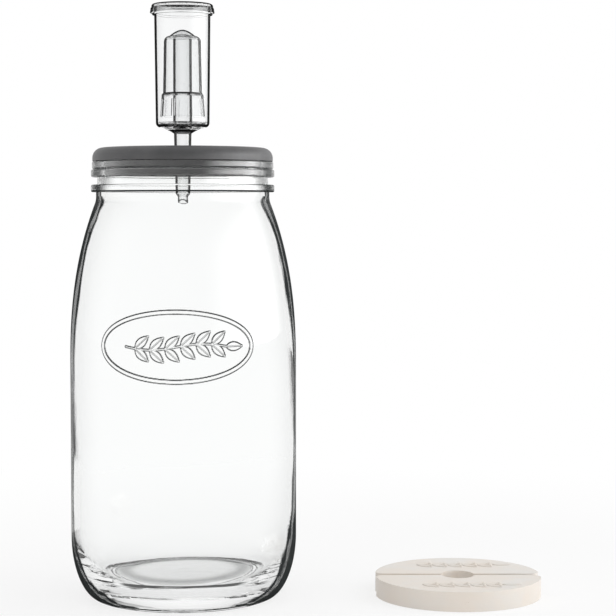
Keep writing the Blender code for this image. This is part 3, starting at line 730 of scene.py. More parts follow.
def mark_edges(obj, edge, special):
    """Stores how far each face turns away before its painted dark edge starts, and how dark that painted
    shade is.

    edge gives the width and strength of the painted dark edge by height and side. special lists chosen faces
    with their own values, or with None and a painted shade that they always have.
    """
    centres, normals = (face_vectors(obj.data, name) for name in ("center", "normal"))
    outward = centres[:, :2] - (AXIS, 0.0)
    radius = np.maximum(np.hypot(outward[:, 0], outward[:, 1]), MERGE_DISTANCE)
    out = (normals[:, :2] * outward).sum(1) / radius
    height, up = centres[:, 2], normals[:, 2]
    width, strength = edge(height, 0.5 + 0.5 * outward[:, 0] / radius)
    share = np.clip(1 - width / radius, 0.0, 0.999)
    start = 1 - np.sqrt(1 - share**2)
    start[out < FACES_OUT] = NEVER_DARK
    start[np.abs(up) > LEVEL_UP] = LEVEL_FACE_START
    start[(np.abs(out) < CUT_OUT) & (np.abs(up) < CUT_UP)] = CUT_FACE_START
    shade = np.zeros(len(height))
    for chosen, chosen_start, chosen_strength in special(height, radius, up, out):
        if chosen_start is None:
            shade[chosen] = chosen_strength
        else:
            start[chosen], strength[chosen] = chosen_start, chosen_strength
    shades = {"relief_edge": shade} if shade.any() else {}
    store(obj.data, {"edge_start": start, "edge_strength": strength, **shades})
    return height, out


def mark_rings(obj, height, out):
    """Stores how dark the painted shade on the ends of the rings round the mouth is, and how much gloss they
    have.
    """
    shade = np.zeros(len(height))
    for bottom, ring_shade in RING_SHADES:
        shade[height > bottom] = ring_shade
    shade[out < 0] = 0.0
    store(obj.data, {"ring_shade": shade, "ring_gloss": (height > RECESS_BOTTOM).astype(float)})


def glass_edge(height, right):
    """The width and strength of the painted shade at the edge of the glass, where right runs from 0 to 1."""
    columns = [np.interp(height, GLASS_EDGE[:, 0], GLASS_EDGE[:, index]) for index in (1, 2, 3, 4)]
    width, strength = (columns[i] * (1 - right) + columns[i + 1] * right for i in (0, 2))
    return JAR_WALL * width, strength


def plastic_edge(wall):
    """The same painted dark edge for clear plastic of one thickness, painted paler through the neck of the
    jar.
    """
    def edge(height, right):
        inside = height < PLUG_BOTTOM
        strength = 1 - inside * (INNER_STEM_PALER[0] * (1 - right) + INNER_STEM_PALER[1] * right)
        strength = np.where(height < STEM_BOTTOM, TIP_STRENGTH, strength)
        return PLASTIC_WALL_SEEN * wall * np.where(inside, INNER_STEM_WIDTH, 1.0), strength

    return edge


def within(values, low, high):
    """Which of the values lie between the two limits."""
    return (values > low) & (values < high)


def glass_marks(height, radius, up, out):
    """The rings, which get no dark edge, and painted shade on the line under the carry ring, the groove, the
    foot of the heel and a band on the floor inside.
    """
    rings = (height > CARRY_RING_BOTTOM) & (out > 0)
    under = rings & within(up, -0.99, UNDER_UP) & (height < CARRY_RING_BOTTOM + RING_ROUNDING)
    groove = rings & within(height, LOWER_RING_TOP - RING_ROUNDING, UPPER_RING_BOTTOM + RING_ROUNDING)
    foot = (up < -0.75) & (height < STAND_WIDTH) & (out > 0.15)
    floor = (up > LEVEL_UP) & (height < PUNT_HEIGHT + 1.5 * FLOOR_THICKNESS) & (radius < FLOOR_RADIUS)
    band = np.exp(-((radius[floor] - FLOOR_BAND_RADIUS) / FLOOR_BAND_WIDTH) ** 2)
    return [
        (rings, NEVER_DARK, 0.0),
        (under, ALWAYS_DARK, FULLY_DARK),
        (groove & (up < UNDER_UP), ALWAYS_DARK, GROOVE_SHADE),
        (foot, HEEL_FOOT_START, FULLY_DARK),
        (floor, ALWAYS_DARK, FLOOR_BAND_SHADE * band),
    ]


def body_marks(height, radius, up, out):
    """Painted shade on the collar between the stem and the cup and a dark line on it, none on the cone of the
    cup's floor, and painted shade on its rounded foot.
    """
    below = within(height, STEM_TOP - SEAT_GAP, CUP_FOOT) & (out > 0) & (up < -0.2)
    line_low = COLLAR_BOTTOM - COLLAR_LINE_SHARES[0] * COLLAR_RISE
    line_high = COLLAR_BOTTOM + COLLAR_LINE_SHARES[1] * FLOOR_RISE
    bend_top = CUP_UNDERSIDE + CUP_BEND_SHARE * CUP_CHAMFER_RISE
    return [
        (below & (height < line_low), None, COLLAR_SHADE),
        (below & within(height, line_low, line_high), ALWAYS_DARK, FULLY_DARK),
        (below & within(height, line_high, CUP_UNDERSIDE), NEVER_DARK, 0.0),
        (below & within(height, CUP_UNDERSIDE, bend_top), None, CUP_BEND_SHADE),
    ]


def bubbler_marks(height, radius, up, out):
    """Painted dark edges on the rounded top and the dome, and painted shade on the step above the skirt."""
    top = (height > BUBBLER_SHOULDER - BUBBLER_ROUNDING) & (up > 0.3) & (out > 0)
    step = within(height, SKIRT_TOP - SKIRT_STEP_HEIGHT, SKIRT_TOP) & (out > STEP_OUT)
    return [(top, BUBBLER_CORNER_START, FULLY_DARK), (step, None, STEP_SHADE)]


def cap_marks(height, radius, up, out):
    """Painted shade on the rounded corner, the step and the skirt, which is seen with the rim of the cup
    behind it.
    """
    step_foot = CAP_STEP_TOP - CAP_STEP_HEIGHT
    corner = (height > CAP_TOP - CAP_ROUNDING) & within(up, 0.3, 0.97) & (out > STEP_OUT)
    step = within(height, step_foot, CAP_STEP_TOP) & (out > STEP_OUT)
    skirt = (height < step_foot) & (out > 0.8)
    return [(corner, CAP_CORNER_START, FULLY_DARK), (step, None, CAP_STEP_SHADE), (skirt, None, SKIRT_SHADE)]


def smooth_step(values):
    """0 below 0, 1 above 1 and a smooth rise between them, for an array."""
    t = np.clip(values, 0, 1)
    return t * t * (3 - 2 * t)


def raised(depth, slope):
    """The share of the relief's height at a depth inside a raised shape's edge."""
    return smooth_step(depth / slope + 0.5)


def oval_depth(u, v):
    """How far inside the line of the oval frame each point lies."""
    level = np.hypot(u / EMBLEM_HALF_WIDTH, v / EMBLEM_HALF_HEIGHT)
    steepness = np.hypot(u / EMBLEM_HALF_WIDTH**2, v / EMBLEM_HALF_HEIGHT**2) / np.maximum(level, 0.05)
    return OVAL_LINE_WIDTH / 2 - np.abs(level - 1) / np.maximum(steepness, 1.0)


def leaf_width(share, half_width):
    """Half the width of a pointed leaf at a share of its length."""
    return half_width * 4 * share * (1 - share) * (1.25 - 0.5 * share)


def leaf_depth(u, v, root, turn):
    """How far inside a leaf that grows from its root in a direction each point lies, and across it."""
    along = (u - root[0]) * math.cos(turn) + (v - root[1]) * math.sin(turn)
    across = (v - root[1]) * math.cos(turn) - (u - root[0]) * math.sin(turn)
    inside = leaf_width(np.clip(along / LEAF_LENGTH, 0, 1), LEAF_HALF_WIDTH) - np.abs(across)
    return np.where(within(along, 0, LEAF_LENGTH), inside, -LEAF_HALF_WIDTH), across


def emblem_relief(u, v, slope=RELIEF_SLOPE):
    """The share of the relief's height at points u across and v above the middle of the emblem."""
    height = raised(oval_depth(u, v), slope)
    wave = STEM_WAVE * np.sin(u / STEM_HALF_LENGTH * math.pi)
    stem = np.minimum(STEM_WIDTH / 2 - np.abs(v - wave), STEM_HALF_LENGTH - np.abs(u))
    height = np.maximum(height, STEM_RISE * raised(stem, slope))
    leaves = []
    for pair in range(LEAF_PAIRS):
        root_u = -STEM_HALF_LENGTH + (pair + FIRST_LEAF_PLACE) * LEAF_PITCH
        root_v = STEM_WAVE * math.sin(root_u / STEM_HALF_LENGTH * math.pi)
        leaves += [((root_u, root_v), side * LEAF_TURN) for side in (-1, 1)]
    leaves.append(((STEM_HALF_LENGTH - STEM_WIDTH, 0.0), 0.0))
    for root, turn in leaves:
        depth, across = leaf_depth(u, v, root, turn)
        midrib = 1 - MIDRIB_DEPTH * smooth_step(1 - np.abs(across) / MIDRIB_WIDTH)
        height = np.maximum(height, raised(depth, slope) * midrib)
    return height


def add_emblem(bm, height):
    """Refines the front of the outer wall, raises the emblem on it and stores painted shade on the steep
    sides of the relief, stronger on the sides that face up.
    """
    layer = bm.verts.layers.float.new("relief_edge")
    middle = EMBLEM_HEIGHT_ABOVE_FLOOR

    def on_front(face):
        centre = face.calc_center_median()
        turn = math.atan2(centre.x - AXIS, -centre.y)
        outer = math.hypot(centre.x - AXIS, centre.y) > JAR_RADIUS - JAR_WALL / 2 - 0.001
        inside = abs(turn * JAR_RADIUS) < EMBLEM_HALF_WIDTH + RELIEF_MARGIN
        return outer and inside and abs(centre.z - middle) < EMBLEM_HALF_HEIGHT + RELIEF_MARGIN

    faces = [face for face in bm.faces if on_front(face)]
    edges = list({edge for face in faces for edge in face.edges})
    made = bmesh.ops.subdivide_edges(bm, edges=edges, cuts=RELIEF_CUTS, use_grid_fill=True)
    verts = {vert for face in faces if face.is_valid for vert in face.verts}
    verts = list(verts | {item for item in made["geom_inner"] if isinstance(item, bmesh.types.BMVert)})
    places = np.array([vert.co for vert in verts])
    turns = np.arctan2(places[:, 0] - AXIS, -places[:, 1])
    u, v, near = turns * JAR_RADIUS, places[:, 2] - middle, RELIEF_LINE / 8
    radii = np.interp(places[:, 2], OUTSIDE_HEIGHTS, OUTSIDE_RADII) + height * emblem_relief(u, v)
    rise_u, rise_v = (
        emblem_relief(u + du, v + dv, RELIEF_LINE) - emblem_relief(u - du, v - dv, RELIEF_LINE)
        for du, dv in ((near, 0), (0, near))
    )
    rise = np.hypot(rise_u, rise_v)
    # Painted shade on the steep sides of the relief, stronger on the sides that face up
    steep = smooth_step(rise / (2 * near) * RELIEF_LINE / 1.2 - 0.25)
    steep *= SIDE_SHADES[0] - SIDE_SHADES[1] * rise_v / np.maximum(rise, MERGE_DISTANCE)
    for vert, turn, radius, share in zip(verts, turns, radii, steep):
        vert.co.x = AXIS + radius * math.sin(turn)
        vert.co.y = -radius * math.cos(turn)
        vert[layer] = share


def add_waves(bm, height):
    """Gives the inner wall and the floor the slow waves of blown glass."""
    for vert in bm.verts:
        x, y, z = vert.co.x - AXIS, vert.co.y, vert.co.z
        radius = math.hypot(x, y)
        outer = float(np.interp(z, OUTSIDE_HEIGHTS, OUTSIDE_RADII))
        if not PUNT_HEIGHT + FLOOR_THICKNESS / 2 <= z <= NECK_FOOT or radius > outer - JAR_WALL * 0.6:
            continue
        turn = math.atan2(y, x)
        wave = sum(size * math.sin(count * turn + phase + along * z) for size, count, phase, along in WAVES)
        fade = min(1.0, (NECK_FOOT - z) / WAVE_FADE)
        low = 1 + WAVE_FLOOR_GAIN * max(0.0, 1 - z / WAVE_FLOOR_REACH)
        reach = height * low * radius / (JAR_RADIUS - JAR_WALL)
        stretch = reach * wave * fade / max(radius, MERGE_DISTANCE)
        vert.co.x += stretch * x
        vert.co.y += stretch * y
        vert.co.z += 0.6 * reach * math.sin(2 * turn + 0.4) * max(0.0, 1 - z / FLOOR_WAVE_TOP)


# Node trees

def maths(operation, swapped=False):
    """A method that adds one Math node, with its second value in front if swapped."""
    def method(self, other):
        first, second = (other, self) if swapped else (self, other)
        return self.tree.node("ShaderNodeMath", {"operation": operation}, {0: first, 1: second})

    return method


class Wire:
    """An output socket of a node tree, with Python's arithmetic as Math nodes."""

    def __init__(self, tree, socket):
        self.tree, self.socket = tree, socket

    __add__, __radd__ = maths("ADD"), maths("ADD", True)
    __sub__, __rsub__ = maths("SUBTRACT"), maths("SUBTRACT", True)
    __mul__, __rmul__ = maths("MULTIPLY"), maths("MULTIPLY", True)
    __truediv__, __rtruediv__ = maths("DIVIDE"), maths("DIVIDE", True)
    greater = maths("MAXIMUM")

    def between(self, low, high):
        """0 at low, 1 at high, and smooth and held outside them."""
        smooth = {"interpolation_type": "SMOOTHSTEP"}
        return self.tree.node("ShaderNodeMapRange", smooth, Value=self, From_Min=low, From_Max=high)


class Tree:
    """A node tree whose nodes are all made by one method."""

    def __init__(self, tree):
        self.tree = tree

    def node(self, kind, settings=None, sockets=None, output=0, **named):
        """Makes a node: its settings first, then the values or links of its sockets. Returns one output.

        Sockets are given in a dictionary, or as keywords with _ for each space of a name.
        """
        node = self.tree.nodes.new(kind)
        for name, value in (settings or {}).items():
            setattr(node, name, value)
        sockets = {**(sockets or {}), **{name.replace("_", " "): value for name, value in named.items()}}
        for name, value in sockets.items():
            for part in value if isinstance(value, list) else [value]:
                if isinstance(part, Wire):
                    self.tree.links.new(part.socket, node.inputs[name])
                else:
                    node.inputs[name].default_value = part
        return Wire(self, node.outputs[output]) if len(node.outputs) else None

    def mixed(self, share, first, second):
        """A colour between two colours."""
        return self.node("ShaderNodeMix", {"data_type": "RGBA"}, {0: share, 6: first, 7: second}, output=2)

    def blend(self, share, first, second):
        """A shader between two shaders."""
        return self.node("ShaderNodeMixShader", {}, {0: share, 1: first, 2: second})

    def noise(self, place, scale, detail, roughness=0.5, distortion=0.0):
        """Smooth noise from 0 to 1."""
        sockets = {"Scale": scale, "Detail": detail, "Roughness": roughness, "Distortion": distortion}
        return self.node("ShaderNodeTexNoise", {}, sockets, Vector=place)

    def vector(self, x=0.0, y=0.0, z=0.0):
        """A vector from its three parts."""
        return self.node("ShaderNodeCombineXYZ", X=x, Y=y, Z=z)

    def part(self, vector, axis):
        """One part of a vector."""
        return self.node("ShaderNodeSeparateXYZ", {}, {0: vector}, output=axis)

    def seen_ray(self):
        """1 for a ray from the camera, off gloss or through a clear surface, and 0 for the rest."""
        names = ("Is Camera Ray", "Is Glossy Ray", "Is Transmission Ray")
        camera, glossy, passed = (self.node("ShaderNodeLightPath", output=name) for name in names)
        return camera.greater(glossy).greater(passed)


def solid(colour, share=1.0):
    """A colour made darker by a share, with full alpha."""
    return (*(part * share for part in colour), 1.0)


def empty_tree(owner):
    """The cleared node tree of a material or a world."""
    owner.use_nodes = True
    owner.node_tree.nodes.clear()
    return Tree(owner.node_tree)


def new_material(name):
    """An empty material, its tree and the Object coordinates in it."""
    material = bpy.data.materials.new(name)
    tree = empty_tree(material)
    return material, tree, tree.node("ShaderNodeTexCoord", output=3)


def finished(material, tree, surface):
    """The material with its surface joined to its output."""
    tree.node("ShaderNodeOutputMaterial", Surface=surface)
    return material


def clear_material(name, clear, edge, look):
    """Clear glass or plastic with painted shade at its edges, which lets most of the light past.

    The attributes edge_start and edge_strength hold how far a face turns away before its painted dark edge
    starts and how dark that painted shade is, and relief_edge holds painted shade, 1 on the steep sides of
    raised marks and set on chosen faces. ring_shade paints shade on the ends of the rings and ring_gloss
    makes them shine.
    """
    material, tree, place = new_material(name)
    turned_away = tree.node("ShaderNodeLayerWeight", output=1, Blend=0.5)
    edge_start, edge_strength, relief_edge, ring_gloss, ring_shade = (
        tree.node("ShaderNodeAttribute", {"attribute_name": name}, output=2)
        for name in ("edge_start", "edge_strength", "relief_edge", "ring_gloss", "ring_shade")
    )
    stretched = tree.node("ShaderNodeMapping", Vector=place, Scale=STREAK_STRETCH)
    streaks = tree.noise(stretched, look["streaks"], 2.0, 0.6, 0.4)
    # Painted shade: the clear colour turns grey towards the edges, and a dark opaque shader is mixed in at
    # the edges, on faces that hold painted shade and at the ends of the rings, with a paler line inside the
    # dark edge
    soft = turned_away.between(edge_start - PAINTED_EDGE_TINT_REACH, edge_start)
    inwards = turned_away - edge_start + look["stray"] * (streaks - 0.5)
    line_start, line_end = (inwards.between(*ends) for ends in PALE_LINE)
    pale_line = look["pale_line"] * line_start * (1 - line_end)
    dark = inwards.between(*EDGE_RISE) * (1 - pale_line) * edge_strength * (1.15 - 0.35 * streaks)
    dark = dark.greater(relief_edge * (1 + SIDE_SHADE_GAIN * turned_away))
    # Painted shade on the ends of the rings, paler again at the very ends
    ring_start, ring_end = (turned_away.between(*ends) for ends in RING_ENDS)
    rings = ring_start * (1 - RING_END_PALER * ring_end) * ring_shade * (1.2 - 0.4 * streaks)
    dark = dark.greater(rings) * (1 - tree.node("ShaderNodeNewGeometry", output="Backfacing"))
    waves = tree.noise(place, look["scale"], 2.0, 0.5, 0.3)
    body = tree.node(
        "ShaderNodeBsdfPrincipled",
        Base_Color=tree.mixed(soft, solid(clear), solid(clear, PAINTED_EDGE_TINT)),
        Roughness=look["roughness"], IOR=look["ior"], Transmission_Weight=1.0,
        Specular_Tint=solid((CLEAR_GLOSS,) * 3), Coat_Weight=ring_gloss, Coat_Roughness=0.05,
        Normal=tree.node("ShaderNodeBump", Strength=look["strength"], Distance=0.001, Height=waves),
    )
    # The dark opaque shader of the painted shade at the edges
    rim = tree.node("ShaderNodeBsdfPrincipled", Base_Color=solid(edge), Roughness=0.5, Specular_IOR_Level=0.0)
    passing = tree.node("ShaderNodeBsdfTransparent", Color=solid(look["shadow"]))
    shadow = tree.node("ShaderNodeLightPath", output=1)
    return finished(material, tree, tree.blend(shadow, tree.blend(dark, body, rim), passing))


def silicone_material(colour, roughness):
    """Matte moulded silicone with fine grain, faint dust and slightly polished patches, and painted shade on
    the plug below the flange.
    """
    material, tree, place = new_material("grey_silicone")
    cloud = tree.noise(place, SILICONE_NOISE["cloud"], 4.0, 0.6)
    grain = tree.noise(place, SILICONE_NOISE["grain"], 2.0)
    dust = tree.noise(place, SILICONE_NOISE["dust"], 5.0, 0.7).between(0.62, 0.74)
    paler = solid(min(1.0, part * 1.25 + 0.01) for part in colour)
    base = tree.mixed(cloud.between(0.3, 0.7), solid(colour, 0.84), paler)
    base = tree.mixed(dust * 0.10, base, DUST_COLOUR)
    # Painted shade: the plug below the flange, which sits in the jar's mouth, is darker
    plug = 1 - tree.part(place, 2).between(FLANGE_BOTTOM - FLANGE_INSET, FLANGE_BOTTOM)
    base = tree.mixed(plug * PLUG_PAINTED_SHADE, base, (0.0, 0.0, 0.0, 1.0))
    rough = roughness + 0.10 * (cloud - 0.5) + 0.06 * (grain - 0.5)
    bump = tree.node("ShaderNodeBump", Strength=0.12, Distance=0.0002, Height=grain)
    sockets = {"Base Color": base, "Roughness": rough, "Specular IOR Level": 0.55, "Normal": bump}
    return finished(material, tree, tree.node("ShaderNodeBsdfPrincipled", {}, sockets))


def ceramic_material(name, colour, roughness, crease_shade):
    """Off-white satin glaze, warmer and paler in patches, with fine specks and an uneven skin.

    crease_shade is how much painted shade darkens the glaze in the crease round the foot of the relief.
    """
    material, tree, place = new_material(name)
    cloud = tree.noise(place, GLAZE_NOISE["cloud"], 3.0, 0.55, 0.4)
    cool, warm = (solid(min(1.0, c * k) for c, k in zip(colour, tint)) for tint in GLAZE_TINTS)
    base = tree.mixed(cloud.between(0.35, 0.65), cool, warm)
    specks = tree.node("ShaderNodeTexVoronoi", Vector=place, Scale=GLAZE_NOISE["specks"])
    chosen = tree.noise(place, GLAZE_NOISE["chosen"], 1.0).between(0.66, 0.72)
    base = tree.mixed((1 - specks.between(0.10, 0.22)) * chosen * 0.35, base, SPECK_COLOUR)
    # Painted shade in the crease round the foot of the relief
    foot = 1 - tree.part(place, 2).between(WEIGHT_THICKNESS, WEIGHT_THICKNESS + CREASE_SHADE_HEIGHT)
    base = tree.mixed(foot * crease_shade, base, CREASE_SHADE_COLOUR)
    skin, pores = tree.noise(place, GLAZE_NOISE["skin"], 3.0), tree.noise(place, GLAZE_NOISE["pores"], 2.0)
    rough = roughness + 0.14 * (cloud - 0.5) + 0.05 * (pores - 0.5)
    bump = tree.node("ShaderNodeBump", Strength=0.25, Distance=0.0006, Height=skin + 0.12 * pores)
    sockets = {"Base Color": base, "Roughness": rough, "Coat Weight": 0.25, "Coat Roughness": 0.22}
    return finished(material, tree, tree.node("ShaderNodeBsdfPrincipled", {}, sockets, Normal=bump))


# Geometry nodes

def new_tree(name, inputs):
    """A Geometry Nodes tree with a geometry in and out and other named inputs. Returns it and its wires."""
    group = bpy.data.node_groups.new(name, "GeometryNodeTree")
    group.interface.new_socket("Geometry", in_out="OUTPUT", socket_type="NodeSocketGeometry")
    for label, kind in (("Geometry", "Geometry"), *inputs, ("Material", "Material")):
        group.interface.new_socket(label, in_out="INPUT", socket_type="NodeSocket" + kind)
    tree = Tree(group)
    node = tree.node("NodeGroupInput").socket.node
    return tree, [Wire(tree, socket) for socket in node.outputs if socket.name]


def closed_tree(tree, geometry, material):
    """The tree, ended in Realize Instances and Set Material."""
    real = tree.node("GeometryNodeRealizeInstances", Geometry=geometry)
    painted = tree.node("GeometryNodeSetMaterial", Geometry=real, Material=material)
    tree.node("NodeGroupOutput", Geometry=painted)
    return tree.tree


def plain_mesh(source, group, inputs, values, material):
    """The result of a tree on an object as a plain object of the same name, with no modifier."""
    values = {"Material": material, **{label: value for (label, kind), value in zip(inputs, values)}}
    modifier = source.modifiers.new(group.name, "NODES")
    modifier.node_group = group
    for item in group.interface.items_tree:
        if item.in_out == "INPUT" and item.name in values:
            modifier[item.identifier] = values[item.name]
    bpy.context.view_layer.update()
    evaluated = source.evaluated_get(bpy.context.evaluated_depsgraph_get())
    mesh = bpy.data.meshes.new_from_object(evaluated)
    name = source.name
    bpy.data.objects.remove(source, do_unlink=True)
    if not mesh.polygons:
        raise RuntimeError(group.name + " made nothing")
    return shown(name, mesh)


def cuts_round_axis(name, round_cuts):
    """A tree that cuts slots or round holes, evenly spaced on a circle, out of a turned piece."""
    tree, (piece, count, radius, width, depth, height, centre, material) = new_tree(name, CUT_INPUTS)
    circle = tree.node("GeometryNodeMeshCircle", Vertices=count, Radius=radius)
    if round_cuts:
        tool = tree.node("GeometryNodeMeshCylinder", Vertices=VENT_SIDES, Radius=width / 2, Depth=height)
    else:
        tool = tree.node("GeometryNodeMeshCube", Size=tree.vector(depth, width, height))
    place = tree.node("GeometryNodeInputPosition")
    facing = tree.node("FunctionNodeAlignRotationToVector", {"axis": "X"}, Vector=place)
    tools = tree.node("GeometryNodeInstanceOnPoints", Points=circle, Instance=tool, Rotation=facing)
    turn = tree.node("FunctionNodeEulerToRotation", Euler=tree.vector(z=math.pi / count))
    real = tree.node("GeometryNodeRealizeInstances", Geometry=tools)
    moved = tree.node("GeometryNodeTransform", Geometry=real, Translation=centre, Rotation=turn)
    settings = {"operation": "DIFFERENCE", "solver": "EXACT"}
    cut = tree.node("GeometryNodeMeshBoolean", settings, Mesh_1=piece, Mesh_2=moved)
    return closed_tree(tree, cut, material)


def leaf_sprig(name):
    """A tree that lays pairs of leaves and berries along a straight stem, from one leaf."""
    tree, wires = new_tree(name, SPRIG_INPUTS)
    leaf, pairs, pitch, leaf_turn, stem_size, berry_size, centre, material = wires
    half = pairs * pitch * 0.5
    start, end = tree.vector(x=0 - half), tree.vector(x=half)
    step = tree.vector(x=pitch)
    roots = tree.node("GeometryNodeMeshLine", Count=pairs, Start_Location=start, Offset=step)
    parts = [tree.node("GeometryNodeTransform", Geometry=leaf, Translation=end)]
    for side in (-1, 1):
        turn = tree.node("FunctionNodeEulerToRotation", Euler=tree.vector(z=leaf_turn * side))
        parts.append(tree.node("GeometryNodeInstanceOnPoints", Points=roots, Instance=leaf, Rotation=turn))
        offset = tree.vector(x=pitch * BERRY_PLACE, y=berry_size * (BERRY_OFFSET * side))
        beside = tree.node("GeometryNodeTransform", Geometry=roots, Translation=offset)
        berry = tree.node("GeometryNodeMeshIcoSphere", Radius=berry_size, Subdivisions=3)
        parts.append(tree.node("GeometryNodeInstanceOnPoints", Points=beside, Instance=berry))
    line = tree.node("GeometryNodeCurvePrimitiveLine", Start=start, End=end)
    ring = tree.node("GeometryNodeCurvePrimitiveCircle", Resolution=SPRIG_STEM_SIDES, Radius=stem_size)
    parts.append(tree.node("GeometryNodeCurveToMesh", Curve=line, Profile_Curve=ring, Fill_Caps=True))
    together = tree.node("GeometryNodeJoinGeometry", {}, {0: parts})
    moved = tree.node("GeometryNodeTransform", Geometry=together, Translation=centre)
    return closed_tree(tree, moved, material)


# Settings that a user would change

def number_setting(label, text, default, low, high, **kind):
    """A number with its limits."""
    return FloatProperty(name=label, description=text, default=default, min=low, max=high, **kind)


def length_setting(label, text, default, low, high):
    """A length."""
    return number_setting(label, text, default, low, high, unit="LENGTH")


def share_setting(label, text, default):
    """A share from 0 to 1."""
    return number_setting(label, text, default, 0.0, 1.0, subtype="FACTOR")


def level_setting(label, text, default, high, unit="NONE"):
    """A brightness or a power."""
    return number_setting(label, text, default, 0.0, high, unit=unit)


def count_setting(label, text, default, low, high):
    """A number of like shapes."""
    return IntProperty(name=label, description=text, default=default, min=low, max=high)


def colour_setting(label, text, default):
    """A colour."""
    limits = {"min": 0.0, "max": 1.0, "subtype": "COLOR"}
    return FloatVectorProperty(name=label, description=text, default=default, **limits)


class JarSettings(bpy.types.PropertyGroup):
    """Sizes and colours of the glass jar"""

    relief_height: length_setting(
        "Relief height", "How far the sprig and its frame stand out", 0.00045, 0.0, 0.0010)
    wave_height: length_setting(
        "Wave height", "How far the inner face strays from a true curve", 0.00022, 0.0, 0.0010)
    clear_colour: colour_setting(
        "Clear colour", "Tint of the glass seen straight through", (0.985, 0.990, 0.988))
    # The edge colour is the painted shade at the edges of the glass
    painted_edge_shade: colour_setting("Edge colour", "Tint of the glass seen edge on", (0.030, 0.033, 0.033))


class LidSettings(bpy.types.PropertyGroup):
    """Finish of the silicone lid"""

    colour: colour_setting("Colour", "Colour of the silicone", (0.064, 0.064, 0.066))
    roughness: share_setting("Roughness", "How matte the silicone is", 0.50)


class AirlockSettings(bpy.types.PropertyGroup):
    """Sizes and colours of the three clear plastic pieces of the airlock"""

    slot_count: count_setting("Slots", "Slots in the skirt of the bubbler", 8, 3, 24)
    slot_width: length_setting("Slot width", "Width of each slot in the skirt", 0.0020, 0.0005, 0.0060)
    slot_height: length_setting(
        "Slot height", "Height of each slot above the foot of the skirt", 0.0105, 0.0010, 0.0120)
    vent_count: count_setting("Vents", "Round holes in the top of the cap", 6, 1, 24)
    vent_width: length_setting("Vent width", "Width of each hole in the cap", 0.0022, 0.0005, 0.0050)
    clear_colour: colour_setting(
        "Clear colour", "Tint of the plastic seen straight through", (0.974, 0.977, 0.978))
    # The edge colour is the painted shade at the edges of the plastic
    painted_edge_shade: colour_setting("Edge colour", "Tint of the plastic seen edge on", (0.015, 0.015, 0.015))


class WeightSettings(bpy.types.PropertyGroup):
    """Sizes and colours of the two halves of the weight"""

    colour: colour_setting("Colour", "Colour of the glaze", (0.76, 0.715, 0.66))
    roughness: share_setting("Roughness", "How matte the glaze is", 0.42)
    leaf_pairs: count_setting("Leaf pairs", "Pairs of leaves on each sprig", 5, 1, 9)
    relief_height: length_setting(
        "Relief height", "How far the leaves stand out of the top face", 0.0010, 0.0001, 0.0015)


class StageSettings(bpy.types.PropertyGroup):
    """The camera, the floor and the light"""

    camera_distance: length_setting("Camera distance", "From the camera to the jar's axis", 1.142, 0.2, 5.0)
    camera_height: length_setting("Camera height", "Height of the camera above the floor", 0.242, 0.0, 3.0)
    camera_tilt: number_setting(
        "Camera tilt", "How far the camera looks down", math.radians(3.15), 0.0, math.pi / 2, subtype="ANGLE")
    focal_length: number_setting(
        "Focal length", "Focal length of the lens in millimetres", 107.5, 20.0, 400.0)
    floor_size: length_setting("Floor size", "Width of the floor", 12.0, 1.0, 40.0)
    floor_colour: colour_setting("Floor colour", "Colour of the floor near the set", (0.93, 0.93, 0.93))
    floor_glow: share_setting(
        "Floor glow", "How much of the floor's whiteness near the set is its own", 0.72)
    room_light: level_setting("Room light", "Strength of the even light from all round", 0.74, 2.0)
    ceiling: share_setting("Ceiling", "Brightness of the ceiling that shows in glass", 0.10)
    backdrop_top: share_setting(
        "Backdrop top", "How high the white backdrop reaches, as the sine of its angle", 0.40)
    right_box: level_setting(
        "Right soft box", "Brightness of the soft box on the right, as gloss shows it", 6.5, 50.0)
    left_box: level_setting(
        "Left soft box", "Brightness of the soft box on the left, as gloss shows it", 0.3, 50.0)
    front_wall: share_setting(
        "Front wall", "Brightness of the room behind the camera, as gloss shows it", 0.35)
    key_power: level_setting(
        "Key light", "Power of the soft light from the upper left", 4.2, 100.0, "POWER")
    side_light: level_setting("Side light", "How much stronger the even light is on the right", 1.7, 10.0)


# Operators, one for each piece or group of like pieces, and one for the stage

def finish_piece(piece, body, node):
    """Makes a piece stand for a CAD node and ride on its body."""
    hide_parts(node)
    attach(piece, body)


class JAR_OT_glass(bpy.types.Operator):
    """Builds the glass jar with the relief on its front"""

    bl_idname = "jar.glass"
    bl_label = "Glass jar"

    def execute(self, context):
        settings = context.scene.jar_settings
        bm = turned(jar_underside() + jar_outside() + jar_mouth() + jar_inside(), False, JAR_SIDES)
        add_waves(bm, settings.wave_height)
        add_emblem(bm, settings.relief_height)
        jar = placed("jar_glass", bm)
        mark_rings(jar, *mark_edges(jar, glass_edge, glass_marks))
        glass = clear_material("clear_glass", settings.clear_colour, settings.painted_edge_shade, GLASS_LOOK)
        jar.data.materials.append(glass)
        finish_piece(jar, "jar", "glass_jar")
        return {"FINISHED"}


class JAR_OT_lid(bpy.types.Operator):
    """Builds the push-in silicone lid"""

    bl_idname = "jar.lid"
    bl_label = "Silicone lid"

    def execute(self, context):
        settings = context.scene.lid_settings
        lid = placed("lid_moulding", turned(lid_outline(), True, JAR_SIDES))
        lid.data.materials.append(silicone_material(settings.colour, settings.roughness))
        finish_piece(lid, "lid", "silicone_lid")
        return {"FINISHED"}


